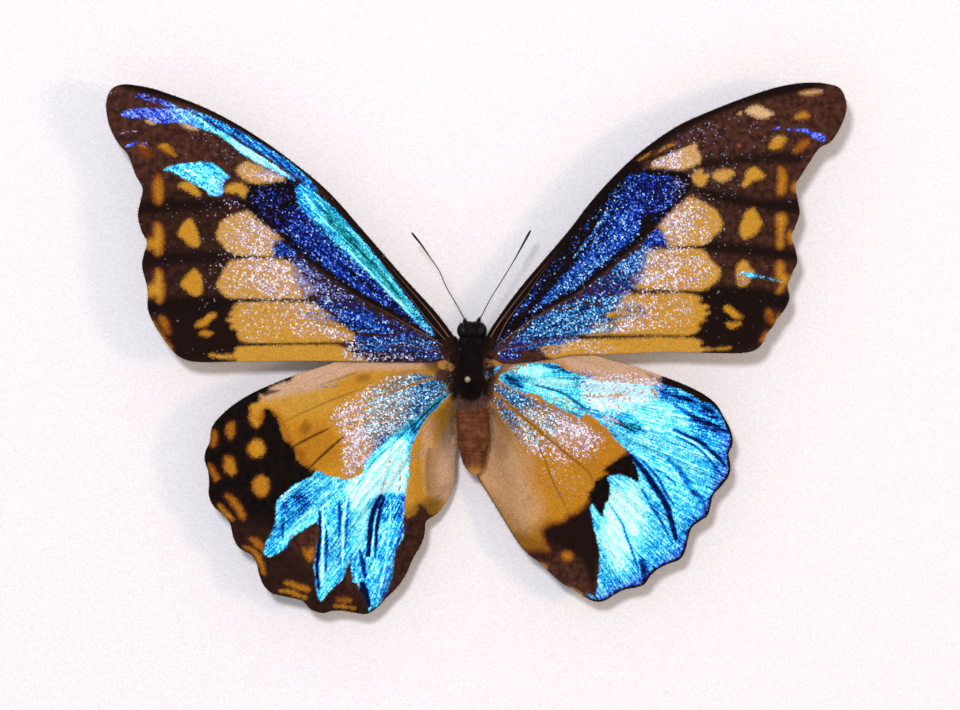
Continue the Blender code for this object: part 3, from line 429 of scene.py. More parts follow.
wash pink .95 1.5 30,35.4 37,38.2 38,35.2 34.5,33.9 30,34.3
wash pink .3 1 24.4,12.6 28.6,11.6 28.6,10.4 24.4,10.4
wash pink .5 1 20.6,9 23,9.2 24,7.8 20.6,7.4
wash hue .6 3 37,34 28,34 26,27 31,25
wash hue .45 1.2 28.4,22 30.6,24.3 32.8,21.8 29,21.6
wash hue .1 1.2 5.2,4.4 9,5 9,3.2 5.2,3
wash hue -.75 1.4 6.4,6.6 12,10 18,12.9 24.6,13.4 28,11.6 23,7.6 12,6.6
wash hue -.3 .8 16.6,19 20,23.6 22.4,27.2 23.6,26.6 18.6,20.6
wash hue -.3 .8 12,12 16,16.6 22.8,20.2 22.8,19 17.4,14.4 13.4,12.2
wash hue -.4 .8 23.6,18.2 28.6,21.2 29.4,19.4 26.2,16.4 21.6,15.2 21.4,16.6
wash hue -.4 .8 10,5.6 18.6,6.8 18,5.4 12,4.4
wash hue 1 1 48,42 60,42 60,37 48,39
wash shine .46 1 53,41.2 60,41 60,37.6 53,39.6
wash thin .16 1 48,42 55,42 55,38.6 48,39
wash thin .4 .8 47.6,17.2 52,16.4 52,15.2 47.6,16
stroke shade .9 .4 41,21.5 38.4,21.45 34,21.35
stroke shade .6 .25 34,21.35 28.6,21
stroke shade .9 .35 39,14 36.6,14.1 35,14.2
stroke shade .5 .5 19,13.9 22,14.5 25,14.8 30.5,14.4 35,14.2
stroke shade .7 .35 4.9,4.6 9.9,5.5 16.4,6.6 25,6.9
stroke shade .35 .3 25,6.9 30,7 36,7
stroke shade .8 .5 36,7 37.4,7.1 38.8,7.3
stroke shade .8 .4 38,34.6 39.6,34.7 41,35
stroke shade .85 .3 28.4,35.4 31,36.2 34,37.4 36.4,38.2
stroke shade .5 .5 22.6,9.8 24.6,10.4 26,10.2
stroke tone .2 1.2 43.2,27.2 43,26 42.8,25
vein .108 .076 3.6,6.6 5.2,9.2 8.9,14.1 12.8,18.8 17.1,23.9 20.7,28.5 24.8,32.9 28.8,36.5 34.3,40.3
39.9,42.9 46,45.2 51.2,46.8 56.5,47.4
vein .072 .043 4.6,5.8 6.2,9.05 7.7,11.2 9.9,14 11.6,16.6 13.8,19.45 15.95,22.05 18.1,24.85 20.3,27.25
22.65,29.85 24.8,32 26.8,33.3 30.5,35.6 33.5,37 36.5,38.2 39.6,39.45 46,42 52,44.6 58.6,45.6
vein .072 .06 4.8,5.6 6.6,6.9 9.2,8.8 11.6,10.35 14.2,11.85 17.25,13.4 19.6,15.1 22,17.2 24.6,19.2 27,20.85
28.3,22.25 30,24 31.95,25.7 35.2,28.8
vein .05 .043 28.3,21.6 30.5,21.25 34,21.35 38.4,21.5 45,20.8 52.8,19.4
vein .058 .043 18.6,14.3 19.8,14.1 25,14.7 30.5,14.3 35,14.15 40,13.8 46,13 51.6,12.6
vein .065 .043 4.9,4.5 6.6,4.9 9.9,5.45 12.5,6.2 16.4,6.65 20,6.75 25,6.9 32.1,7.1 36,7 42,6.4 47.8,6.6
vein .05 .043 35.2,28.8 40,29.6 46,29 53.2,27.6
vein .05 .043 29.6,34.9 32,33.4 34.4,31 35.2,28.8
vein .05 .043 32.6,33 36,34.2 41,35 48,35.6 55,35.3
vein .05 .043 30.6,35.4 38,37.6 45,39.6 52,40.9 60,40.8
"""),
    "left_hindwing": read_wing("""
outline -2.3,2.6 -5,4.3 -9,5.4 -14,5.3 -19,3.8 -21.3,2.85 -24.7,1.7 -27.9,.7 -31.2,-.6 -35,-2.3 -38.5,-4.5
-41,-6.9 -41.75,-8.5 -41.9,-10.2 -42.6,-11.7 -42.75,-13.2 -42.2,-15 -42.05,-16.9 -42.1,-18.9 -41.3,-20.7
-39.95,-21.9 -38.65,-23.45 -38.15,-25.6 -37.4,-27.2 -36.2,-28.05 -35.2,-28.6 -34.3,-30 -33.95,-31.7
-33.2,-33.5 -31.9,-34.8 -30.2,-35.25 -28,-35.75 -26.7,-36.25 -25.5,-37.5 -23.6,-38.1 -21.8,-37.7 -19.7,-37.8
-17.5,-38.2 -16.2,-38.15 -14.6,-37.1 -13.3,-35.7 -12.3,-34.75 -11.2,-33.55 -10.1,-31.9 -8.9,-29.2 -7.6,-27
-7,-25.1 -6.9,-23.5 -6.3,-22.8 -5.05,-22 -3.5,-19.95 -2.4,-17.3 -2,-15 -1.95,-12.4 -1.7,-10.4 -1.75,-5.6
-2.1,-2.6
gold .53 -1,3.4 -5,6 -14,7 -22,3.6 -27.6,1.6 -28.6,0 -30.6,-.7 -32.3,-1.5 -33,-2.4 -33.8,-2.6 -33.9,-3.4
-35.2,-4.1 -35.55,-4.6 -35.4,-5.2 -35.55,-6.35 -35.15,-7.3 -34.4,-7.9 -33.8,-7.5 -33.3,-6.7 -33.1,-5.7
-33.1,-5.1 -32.5,-4.9 -31.65,-5.5 -30.85,-6.5 -30.5,-7.65 -30.2,-8.8 -29.9,-9.8 -28.9,-10.4 -28.55,-11
-28.2,-11.4 -28,-12.5 -27.7,-13.2 -26.8,-14 -25.8,-14.3 -25.5,-14.8 -24.8,-15.05 -22,-18 -12,-20 -10.2,-22.5
-8.5,-22 -7.7,-20.5 -6,-22.2 -4.5,-22 -1,-19 0,-10 0,0
gold .28 -38.2,-7.1 -37.85,-8.2 -38.3,-9.6 -38.9,-9.6 -39.3,-8.5 -38.9,-7.3
gold .5 -34.4,-9.8 -33.1,-10.6 -33.1,-12 -34.3,-12.8 -35.5,-12.2 -35.7,-10.8
gold .4 -39.3,-12.6 -38.2,-12.9 -37.7,-14.5 -38,-15.6 -38.9,-15.5 -39.7,-14.2
gold .42 -33.6,-15.7 -32.4,-16.6 -32.4,-18.3 -33.5,-19.1 -34.7,-18.4 -34.9,-16.8
gold .25 -41.1,-8.3 -40.7,-9.1 -40.75,-10.25 -41.25,-11.1 -41.75,-10.75 -41.8,-9.45 -41.65,-8.8
gold .25 -42,-13.8 -41.4,-14.3 -40.9,-15.15 -40.5,-15.95 -40.9,-16.6 -41.4,-15.95 -41.9,-15
gold .3 -39.55,-19 -38.8,-18.8 -38,-19.3 -37.2,-20.2 -36.55,-21.2 -36.2,-22.15 -36.4,-22.9 -37,-22.5
-37.85,-21.35 -38.65,-20.2
gold .5 -40.45,-20.35 -39.65,-21 -38.8,-21.8 -38.1,-22.65 -38.3,-22.95 -39,-22.6 -39.8,-21.8 -40.45,-21
gold .3 -35.55,-25.9 -34.4,-25.9 -33.6,-26.45 -32.95,-27.35 -33.1,-28 -33.8,-27.7 -34.75,-26.9
gold .42 -36.4,-27.2 -35.1,-27.5 -34.1,-28.2 -33.45,-29.15 -33.1,-30.3 -32.95,-31.75 -33.45,-31.4
-33.9,-30.3 -34.6,-29 -35.4,-28
gold .4 -29.7,-32.9 -28.7,-32.9 -27.6,-33.35 -26.3,-33.7 -25.7,-34.2 -26.3,-34.6 -27.6,-34.2 -28.9,-33.7
-29.7,-33.3
gold .55 -30.5,-34.35 -28.9,-34.4 -27.4,-35 -26.3,-35.4 -26.45,-35.7 -27.6,-35.4 -29.05,-34.9 -30.35,-34.6
gold .25 -21.25,-35.8 -20.4,-35.5 -19.5,-35.55 -18.8,-35.9 -19.1,-36.3 -20.3,-36.4 -21.1,-36.2
gold .55 -21.7,-36.8 -20.4,-36.8 -18.5,-37.2 -18.6,-37.5 -20.4,-37.2 -21.6,-37.15
gold .35 -26.8,-27.5 -26.1,-27.75 -25.6,-27.4 -25,-27.5 -25,-28.5 -25.1,-29.15 -25.6,-29.7 -26,-29.5
-26.5,-28.65
blue .62 -24.8,-15.05 -25.3,-15.8 -26.5,-16.4 -27.6,-16.95 -28.9,-17.75 -29.85,-18.7 -30.7,-19.45
-31.1,-20.05 -31.15,-21.15 -31.25,-22.5 -31.4,-23.6 -31.8,-24.6 -32.3,-25.7 -32.85,-26.85 -33.1,-27.7
-33.05,-28.5 -32.45,-28.9 -31.5,-28.65 -30.5,-28.25 -29.7,-27.5 -29.05,-26.55 -28.55,-25.7 -27.75,-25.15
-26.8,-24.65 -26,-24 -25.15,-23.55 -24.5,-23.35 -24.2,-24.1 -24.1,-24.75 -24.35,-26.05 -24.6,-27.35
-24.75,-28.65 -24.9,-29.95 -25.1,-30.75 -24.85,-31.9 -24.75,-33.2 -24.6,-34.35 -24.4,-35.5 -24,-36.15
-23.55,-35.95 -23.05,-35.15 -22.2,-34.25 -21.25,-33.45 -20.4,-32.55 -19.95,-31.6 -19.6,-30.6 -19.15,-29.65
-19,-29.3 -18.9,-30.3 -18.9,-31.6 -18.75,-32.9 -17.9,-33.3 -17.75,-34 -17.2,-35 -16.6,-36.3 -16,-37.6
-15.55,-37.3 -14.9,-37.1 -14.25,-36.45 -13.8,-35.65 -13.1,-34.5 -12.6,-33.2 -12.3,-31.9 -12.15,-30.6
-12,-29.3 -11.75,-28 -11.15,-26.85 -10.6,-25.7 -10.35,-24.4 -10.4,-23.1 -10.35,-21.8 -10.3,-20.5 -10.1,-19.7
-10.1,-18.1 -9.8,-16.6 -9.55,-15.6 -9.45,-14 -9.4,-12.4 -9.2,-11.25 -8.9,-10.4 -8.4,-9.45 -7.9,-8.5
-7.45,-7.65 -6.95,-6.7 -6.3,-5.9 -5.5,-5.2 -4.7,-4.4 -3.85,-3.4 -3.05,-2.8 -2.7,-2.3 -3.7,-2.3 -4.85,-2.95
-5.8,-3.9 -6.8,-4.9 -8.1,-6.05 -9.4,-7 -10.7,-8 -12,-8.95 -13.1,-9.8 -13.95,-10.6 -14.9,-11.55 -15.7,-12.55
-16.55,-13.5 -17,-14.65 -17.35,-15.45 -18.5,-16.1 -19.95,-16.3 -21.9,-15.9 -23.2,-15.5 -24,-15.05
wash dusk 1 4 -45,1 -28,1 -20,-16 -26,-24 -36,-25 -45,-22
wash dusk .7 5 -45,-25 -36,-23 -27,-28 -20,-33 -10,-40 -35,-40
wash rust .2 2 -44,-5 -34,-6 -30,-14 -26,-26 -20,-36 -34,-38 -44,-20
wash tone .62 4 -24,-.5 -33,-2 -35.5,-6 -32,-6 -27,-5.5 -22,-4.5
wash tone .42 4 -29,-8 -24,-7 -20,-12 -24,-15 -28,-12
wash tone .3 1.6 -35.6,-4.4 -33.6,-7.4 -31,-6 -29.6,-9.6 -27.4,-13.2 -24.6,-15 -25.6,-13.6 -28.6,-10
-30.4,-6 -32.8,-4.6 -34.6,-6.4
wash pale 1 1.6 -2,5 -14,6.6 -22,3.6 -28,1.4 -34.5,-2.4 -32,-3.2 -28.9,-2.5 -24,-1.6 -20.3,.2 -18.1,1.3
-12,1.6 -6,2.2
wash pale .9 2.2 -1.6,-7.4 -3.6,-8.4 -5.4,-11 -6,-14 -6,-18 -4.4,-19.8 -1.5,-17
wash pale .55 1.2 -5,-6.4 -7.2,-8 -7.4,-14 -6.8,-18.6 -5.8,-18 -5.8,-11
wash shade .5 2.4 -1.4,-3.6 -5,-5 -6,-8 -4.4,-11.4 -1.4,-12.4
wash shade .36 2.2 -1,-9.6 -4.8,-10.8 -6.4,-14 -6.6,-18.4 -5,-20 -1.5,-17
wash shade .08 2 -3,-11.6 -4.4,-11.8 -5.2,-14 -4.8,-16.8 -3.2,-16.6 -2.8,-14
wash shade .5 .7 -5.9,-11.6 -6.6,-11.4 -7,-15 -6.6,-18.6 -6.1,-18.4 -6.3,-15
wash shade .14 1 -7,-11 -8.6,-12 -9,-19 -7.2,-18.6 -7.4,-15
wash shade .35 1.2 -4,-19.4 -6,-18.6 -7,-20 -5.6,-22.4 -4,-21.6
wash shade .7 1.6 -8.8,-20.6 -6.2,-19.6 -4.4,-19.8 -5,-23 -9,-24
wash shade .5 3 -10.5,-21.5 -6.5,-22.5 -8,-30 -12,-36 -14.5,-37.5 -12,-30
wash shade .8 1.4 -1.6,3.4 -5,3.2 -7.4,2.6 -6,1.2 -5,.2 -4,-1 -1.6,-3.6
wash shade .3 2 -5,4.6 -12,5.2 -16,4.6 -14,3.2 -8,3
wash shade .4 1 -16,.9 -18,.6 -18,-.5 -16,-.3
wash shade .9 .5 -33.7,-2.3 -33,-2.75 -32.1,-2.5 -30.5,-1.9 -32.1,-1.75 -33,-1.7
wash shade .42 .9 -26.4,-6.7 -25.5,-7.9 -26.4,-9.1 -27.3,-7.9
wash shade .25 .9 -27,-11.1 -26.3,-12.1 -27,-13 -27.6,-12.1
wash pale 1 1 -15.4,-14 -14.4,-18.6 -10.4,-19.2 -10,-15 -12,-12
wash thin .05 .8 -12.4,-15.8 -12.2,-18.6 -10.6,-19.2 -10.3,-17.4 -11.4,-15.4
wash thin .05 .5 -13.2,-13.4 -14,-18.4 -13.4,-18.2 -12.6,-14.2
wash shade .4 3 -4,.2 -9,1 -13,-.6 -15,-5 -14,-10 -10,-8.8 -5,-4
wash glitter .6 2 -3.7,-.2 -8.1,.95 -10.7,.8 -14.4,-.6 -18.2,-2.8 -22.3,-6 -20.5,-9 -20.4,-13 -19.8,-15.6
-17,-14.6 -12,-9.2 -5,-3.2
wash glitter .84 2 -4,-.6 -9,.2 -13,-1.6 -16.5,-5 -18,-9 -18.6,-14.6 -12,-9 -5,-3.2
wash glitter .18 1.6 -6,-5.4 -8.5,-8.5 -9.4,-14 -7,-12
wash glitter .25 .8 -21.4,-.8 -23.6,-1 -23.4,-1.5 -21.4,-1.3
wash pink .8 3 -9,1.4 -13,1 -16,-6 -13,-9 -10,-6
wash pink .96 3 -13.5,2 -18,-1 -24,-5 -24,-16 -17,-14.8 -14.6,-8
wash hue -1 1.6 -2.5,.5 -9,1.4 -14.6,.4 -17,-5 -16,-10 -12,-9 -8,-8.4 -4,-3.2
wash shine .98 1.6 -17.6,-15.6 -13,-10.4 -10.2,-9.6 -9.6,-13 -10.2,-18.9 -12.5,-18.6 -15.5,-19.6 -18.6,-17.3
wash shine .94 1.4 -19.8,-17 -16.2,-18 -16.4,-22 -17.2,-27.6 -18.6,-28 -18.8,-22
wash shine .74 1.4 -18.6,-22.6 -17,-22 -17.4,-26.6 -18.4,-27.6
wash shine .72 2 -24.6,-15.8 -20.4,-16.8 -20.6,-20 -24,-20
wash shine .46 2 -31,-19.4 -27,-17.4 -25.4,-18 -26,-20.8 -28,-23.4 -31.4,-23.8
wash shine .74 .9 -31.4,-23.6 -30.7,-22.8 -30.3,-20.4 -29.4,-19.2 -28.6,-18.4 -26.4,-17 -25.4,-16.2
-25,-15.2 -28.9,-17.6 -31.2,-19.9
wash shine .26 .9 -28.3,-19.2 -27,-18.9 -25.8,-20.2 -26.4,-21 -27.8,-20.6
wash shine .8 .9 -24.3,-20.6 -27,-22.6 -30.8,-26 -30.4,-27.4 -26.6,-24.2 -24.2,-22.6
wash shine .5 .9 -29.2,-23.6 -31.6,-23.4 -32.6,-26.4 -31,-26
wash shine .6 1.4 -33.1,-28.6 -32.4,-25.8 -30.6,-26.8 -30.6,-28.2 -32.2,-28.9
wash shine .64 .9 -23,-20 -20.9,-20 -20.8,-30 -22.8,-30
wash shine .78 1.2 -24.4,-30.6 -22.6,-30 -21,-32.6 -22.4,-34.4 -24,-36
wash shine .48 1 -14.4,-19.4 -11.4,-19 -11.2,-23.6 -13.4,-23.8
wash shine .68 1.2 -13.6,-23.6 -11.4,-23.2 -11.4,-26.4 -13,-32 -14.6,-36.4 -15.6,-36 -15.2,-30
wash shine .4 .9 -11.4,-19.4 -10.1,-19.4 -10.4,-24.6 -11.4,-27.4 -12.4,-31 -13.2,-34.4 -14.2,-36.4
-13.8,-33.6 -12.4,-28.4 -11.2,-25
wash shine .62 1.2 -2.7,-2.3 -4.2,-3.8 -7.2,-7.4 -8.6,-9.4 -10,-9.2 -12,-9.4 -8.4,-6.3 -5,-3.2
wash hue .3 .9 -11,-19.4 -10.1,-19.4 -10.4,-24.6 -12.4,-31 -14.2,-36.6 -14.2,-35 -12.2,-28.4 -11,-25
wash hue -.5 1.2 -2.7,-2.3 -4.2,-3.8 -7.2,-7.4 -8.6,-9.4 -10,-9.2 -11,-8.6 -8.4,-6.3 -5,-3.2
wash crease .7 .6 -9.6,-7.2 -8.9,-6.9 -8.2,-8.2 -8.8,-8.9
stroke shade .85 .4 -28.6,-11.1 -26,-9.7 -22.7,-8.1
stroke shade .85 .4 -25.6,-14.3 -23,-11.8 -20.1,-9.3
stroke shade .35 .3 -30,-7 -24,-4.2 -18,-1.8
stroke shade .4 .3 -18.1,1.1 -19.1,.7 -21.5,-.1 -24,-1
stroke shade .6 .4 -10,-22 -7.4,-20.6 -4.5,-18.9
stroke glitter .05 .4 -5.15,.2 -9,-.9 -12,-2 -15.9,-3
stroke shade .4 .35 -5.15,.2 -9,-.9 -12,-2 -15.9,-3
stroke shade .6 .8 -3.5,-1.8 -5.6,-3.4 -7.75,-5.2
stroke crease .9 .3 -3.6,-2.8 -5.8,-4.6 -8.2,-7 -9.4,-9
stroke crease .7 .25 -4.6,-4 -6.6,-6 -8.4,-8.6
stroke crease .4 .3 -8.5,-6.8 -12,-10.5 -15,-13 -17.8,-17
stroke crease .3 .25 -9.8,-9.6 -11.8,-13 -13.6,-17 -14,-19.6
stroke crease .3 .25 -10.4,-10.4 -13.4,-13.6 -16.4,-17.6
stroke thin .5 .3 -12.4,-12.6 -13.3,-15.4 -14,-18.6
stroke thin .45 .35 -10.6,-11.4 -11,-15 -11.1,-18.8
stroke crease 1.3 .8 -14.1,-18.9 -14.8,-20.4 -15.5,-22.5 -15.9,-25 -16.2,-28.7
stroke crease 1.3 .45 -13.6,-19.3 -14.2,-21 -14.6,-23 -14.9,-25.4 -15,-29.2
stroke crease .3 .8 -14.9,-28.5 -14.2,-29.1 -13.7,-29.5
stroke crease .9 .6 -17.6,-28 -17.1,-30 -16.7,-32.2
stroke crease 1.2 .5 -24.15,-21.6 -24.1,-25 -24.3,-28 -24.5,-31 -24.2,-34.2
stroke crease .9 .4 -23,-24.6 -22.95,-28 -23.1,-31.2
stroke shine 1 .35 -23.6,-20.6 -23.5,-25 -23.65,-29 -23.7,-33.6
stroke crease .6 .4 -30,-22.8 -30.1,-24.5 -30,-26.2
stroke crease .7 .4 -20.9,-20 -20.8,-22 -20.9,-25.6
stroke crease .6 .3 -19.4,-19.4 -19.6,-23 -19.9,-27.4
stroke crease 1.4 1.2 -17.2,-33.4 -16.8,-35 -16.2,-36.8
stroke shine 1 .3 -17.8,-34.2 -17.1,-35.8 -16.3,-37.4
stroke shine 1 .3 -18.3,-31.6 -18,-33 -17.4,-34
stroke shine 1 .4 -19.3,-18 -20.1,-22 -20.3,-26 -20.4,-30.6
stroke shine 1 .3 -14.5,-19.8 -15.1,-22.6 -15.4,-25.4 -15.6,-28.6
stroke shine .9 .3 -12.7,-19.4 -12.6,-22 -12.9,-26 -13.6,-31 -14.6,-35.4
stroke rust .9 .8 -19.7,-29.4 -19.4,-30.4 -19.3,-31.6
vein .108 .06 -3,2.2 -6,3.4 -10,4.2 -14.5,4 -19.5,2.2 -24,.4 -29,-1.4 -35,-4 -40.6,-7.2
vein .086 .06 -3.2,1.4 -9,1.3 -14,.2 -18,-1.8 -24,-4.2 -30,-7 -36,-9.8 -41.8,-11.6
vein .086 .06 -4,.4 -9,-.9 -12,-2 -15.9,-3 -19,-5.6 -22.7,-8.1 -28.6,-11.1 -35,-14.4 -42,-17
vein .079 .06 -15.9,-3 -17.6,-6.6 -20.1,-9.3 -25.6,-14.3 -30.6,-18.6 -36,-22.8 -38.2,-25
vein .079 .06 -4,-1.2 -7.6,-5 -11.5,-9.2 -14.6,-12.4 -17.8,-17 -21.6,-21.6 -26,-26.4 -33.6,-31.6
vein .079 .06 -15.6,-13.8 -18.6,-19.6 -22,-26 -24.6,-31.6 -26.2,-36.2
vein .079 .06 -11.5,-9.2 -13.4,-14 -15.6,-20 -17.4,-28 -18.6,-37.6
vein .072 .051 -3.4,-2.2 -6.4,-6.4 -8.8,-11.4 -10,-18 -10.6,-25 -12.4,-34.4
vein .072 .051 -2.9,-2.4 -4.2,-6.6 -5.6,-11 -6.4,-16 -7.6,-20 -7.2,-24.6
"""),
    "right_hindwing": read_wing("""
outline 3.2,2.6 6,4.3 10,5.4 14.5,5.4 18.5,4.6 20.3,4.05 23.15,3.1 27,2.1 30.8,.75 34.6,-.65 38.25,-2.4
40.4,-4.1 41.6,-6.1 42.55,-7.85 43.05,-9.6 42.95,-10.9 42.4,-12.1 42.6,-13.4 42.7,-14.7 42.3,-16 41.1,-17.55
39.9,-18.9 39.5,-20.5 39,-22.15 37.6,-23.2 36.4,-24.2 35.8,-26.1 35.4,-27.8 34.5,-29.35 32.5,-30.1 30.8,-31
29.65,-32.1 28.7,-33.4 27.2,-33.95 25.6,-34.25 24.1,-34.95 22.8,-35.8 21.5,-36.25 19.9,-35.95 17.7,-34.6
14.95,-32.95 12,-30.15 9.8,-28.45 7.85,-26.15 5.95,-23.1 3.1,-18.5 1.55,-16 1.3,-14 1.6,-10 2.3,-6 3.2,-2.6
gold .42 1,3.4 6,6.4 15,7 24,4.2 30.9,1.6 31.2,-.2 31.6,-3 27,-9 26,-11.6 25.25,-12.4 22,-14.75 22.8,-15.3
21.05,-16.45 20.5,-17.1 20.3,-17.95 19.8,-18.5 19.55,-19.85 18.75,-20.8 17.8,-21.55 16.5,-22.15 15.35,-23.1
13.6,-23.5 12.25,-24.45 12.1,-25.6 12.65,-26.9 13.05,-27.9 11.9,-27.9 10.55,-27.95 9.6,-28.05 8,-28.5 4,-23
0,-16 0,-8 .5,0
gold .46 11.7,-25.8 12.4,-26.3 12.3,-27.1 11.5,-27.4 11,-26.9 11.1,-26.2
gold .46 16.1,-28.3 16.8,-28.6 16.9,-29.1 16.2,-29.4 15.6,-29.1 15.5,-28.6
gold .9 11.4,-30 12.4,-30.3 12.7,-30.7 11.6,-30.4
gold .75 16,-33.7 17.3,-34.2 18.9,-35.2 18.4,-35.3 16.6,-34.3
blue .66 5.75,.95 6.9,1.5 8.25,2.35 9.95,2.65 11.9,2.65 14.2,2.55 15.7,1.7 17.4,.95 19.5,.25 21.4,-.4
23.35,-.4 29.65,-1 31.4,-.8 33.1,-1.25 35,-1.95 36.5,-2.7 38.05,-3.65 39.4,-4.05 40.35,-4.8 41.2,-6.15
42.1,-7.95 42.6,-9.6 42.5,-10.9 42,-12.1 42.2,-13.4 42.3,-14.7 41.9,-15.8 40.8,-17.3 39.5,-18.8 39.1,-20.5
38.6,-21.95 37.4,-22.8 36.1,-24 35.4,-26.1 35,-27.6 34.2,-29 32.3,-29.75 30.6,-30.7 29.4,-31.8 28.5,-33
27,-33.6 25.5,-33.9 24,-34.6 22.8,-35.4 21.6,-35.85 20.9,-35.2 21.05,-34 21.25,-32.45 21.35,-30.95
21.45,-29.4 21.55,-28.05 21.25,-27.1 20.9,-25.6 20.5,-24.05 20.3,-22.9 20.05,-21.55 19.85,-20.7 20.4,-20.35
21.05,-21.4 21.85,-22.25 22.2,-22.35 22.1,-21.55 22.5,-20.25 23,-19.85 23.15,-18.3 23.15,-17.35 22.8,-16.4
23.15,-15.75 25.25,-15.7 26.8,-16.3 27.8,-16.85 27.65,-15.1 27.45,-14.15 26.95,-13.4 26.4,-12.25 25,-10.75
24.1,-9.95 23.35,-9 22.4,-7.85 21.05,-6.7 19.7,-5.75 19.25,-5.2 18.75,-6.25 17.8,-6.25 17.05,-5.75 15.7,-5.2
14.2,-4.4 12.65,-3.65 11.5,-2.7 9.4,-2.3 8.05,-1.85 6.5,-1.15 5,0
blue .35 19.3,-35.1 20,-35.5 20.8,-35.9 20.5,-35.4 19.8,-35
blue .55 3.25,0 3.9,.25 4.4,.8 4.7,1.3 5.4,1.7 5.4,2.15 4.7,2.1 4.3,1.5 3.9,.9 3.3,.75
wash dusk .9 4 8,-21 24,-14 24,-29 14,-28
wash dusk .95 .8 28,3 46,3 46,-40 20.6,-40 21.8,-34 30,-28 36,-14 30.8,-.6 29.6,.6
wash rust .95 1.4 9,-26 20,-20 20,-32 12,-31
wash pale .95 1.4 3,3.4 10,6.6 16,6 24,3.8 31.2,1.4 31.2,-.3 22,.1 17.4,1.2 14.5,2.9 10,3.1 6,1.6
wash pale .62 4 2,-5 5.6,-7.4 9.4,-12.4 10.4,-17 12,-21.5 8,-25 1,-15
wash pale .45 2 13,-9.6 18,-7 20,-8.4 18,-11
wash pale 1 1.6 18.4,.6 31.6,-.4 31.2,-3.6 28.4,-4 25.2,-7 23.8,-8.4 21,-6.4 18.6,-4
wash tone .5 4 2,-5 5.6,-7.4 9.4,-12.4 10.4,-17 12,-21.5 9,-27 1,-15
wash tone .45 3 11,-12 20,-16 17,-22 12,-22
wash tone .42 1.2 18.6,-6 20,-5.6 23,-8.4 26.6,-12.4 25.4,-12.8 21.6,-9.4
wash shade .28 1.6 1,-4 4.6,-5.5 6.2,-9 4.6,-10 1.2,-12
wash shade .3 2.5 5,4 10,5.6 14,5 11,3.6 7,2.8
wash shade .1 3 2,-6 7,-8 10.4,-15 11,-21 7,-23 2,-15
wash shade .34 2.4 3.4,-18 9,-23.4 14,-23 15,-25 12,-29.4 7,-27
wash shade .6 1.4 7.4,-25 10.4,-25.6 12.4,-27.2 13.4,-29.6 11,-29.4 9,-28
wash shade .4 2 4.4,-5.4 6.6,-8 6.8,-12 5.2,-12.6 4.2,-9
wash shade .3 .6 9.6,-19 10.1,-18.9 10.4,-19.6 9.9,-20
wash shade .75 1.2 1.4,3.4 4,3.6 6,3.2 6.4,1.6 5,0 4.4,-1.6 3.2,-3 1.4,-3
wash shade 1 .7 3,1.9 4.2,2 4.2,1.3 3.4,.9 2.9,1.2
wash dusk 1 .6 22.2,-14.7 26.4,-12.3 27.9,-14 27.9,-17 25.25,-15.7 22.9,-15.8 23.2,-20 22.2,-22.6 20,-21
19,-20 20.2,-17.2
wash dusk .9 1.5 20,-21 21,-27 20.6,-34 19,-30 18,-24
wash thin .22 2.4 18.4,.8 31,-.4 30.9,-3.1 28.4,-3.9 26.6,-5.2 25,-6.9 23.7,-8.2 21.6,-6.7 19.6,-5.5 18.6,-3
wash thin .2 2 12,-2.4 17,-3.6 19.4,-5 17,-5.8 12.6,-3.8
wash thin .4 1 5.6,1.2 9,2.8 11,2.9 10,2.2 7.4,1.2
wash glitter .84 1.6 17.4,.8 31,-.4 30.9,-3.1 28.4,-3.9 26.6,-5.2 25,-6.6 23.4,-7.4 20.6,-5.6 18,-4.6
wash glitter .45 1.4 19,1.4 30.6,.4 30.8,-.6 22,-.2 18,.8
wash glitter .84 2 3,-.8 6.5,-1.4 11,-3.4 16.6,-6.2 18.6,-7.2 19.6,-8.8 17,-10.8 13,-8.8 8,-5
wash glitter .5 2.4 15,-9.4 19.4,-8.2 22,-9.8 19.6,-13 17,-12.6
wash glitter .68 1.8 2.8,-1.6 7,-5 13,-9.8 17,-13.6 12.8,-15.2 9.6,-11.6 6,-6.6
wash glitter .14 3 10,-12 18,-14 18,-19 13,-18
wash glitter 0 .7 22.2,-7 23.6,-8.2 26.6,-12.2 25.6,-12.9 22.4,-9.2 20,-7
wash pink .2 2 17,1 20.4,1 20.4,-5.6 17,-5
wash pink .98 2 21,1.6 31,.6 31,-3.6 28,-4.6 24.4,-8.4 20.6,-5.8
wash pink .95 3 10,-4.4 20,-7 25,-12 20,-18 10,-14 8,-8
wash hue -.6 2 16.6,1 21,1 21,-5.6 16.6,-5
wash hue -1 1.6 2.8,-.6 8,-2 14,-4.6 14,-9 10,-11 5,-6.6 3,-2.4
wash shine .97 1.2 8.6,2 12.8,2 13.4,1 12,.6 8,.7
wash shine .95 1.2 11,.4 16.6,-.2 16.8,-1.4 12,-1
wash shine .6 .8 12,2.6 14.4,2.5 17,1.1 16.6,.8 13.6,1.6
wash shine .42 1 5.6,.7 8.6,.6 9.4,-.6 8.8,-1.8 6.4,-1
wash shine .84 2 8.6,-.6 12,-.8 17,-2.2 17.6,-4.8 12,-3
wash shine 1 1.6 18.6,.2 29,-.6 30.6,-2.6 27,-4.6 20,-5
wash shine .98 4 23.6,-17.6 28,-17.6 29,-24 25,-31 22.2,-28 21.6,-23
wash shine .8 3 25,-7.6 31,-2 36.6,-4.4 36,-9.4 31,-9.4 27,-8.6
wash shine .42 1.6 30.8,-1 33.5,-1.4 37,-3 36.8,-4.6 33,-4 31.2,-2.8
wash shine .36 2 36.6,-4.2 40,-4.6 42.4,-8.6 38.6,-9.4 36,-7
wash shine .74 3 28.6,-8 38,-11 38,-15.6 34,-21 30,-16 27.5,-11
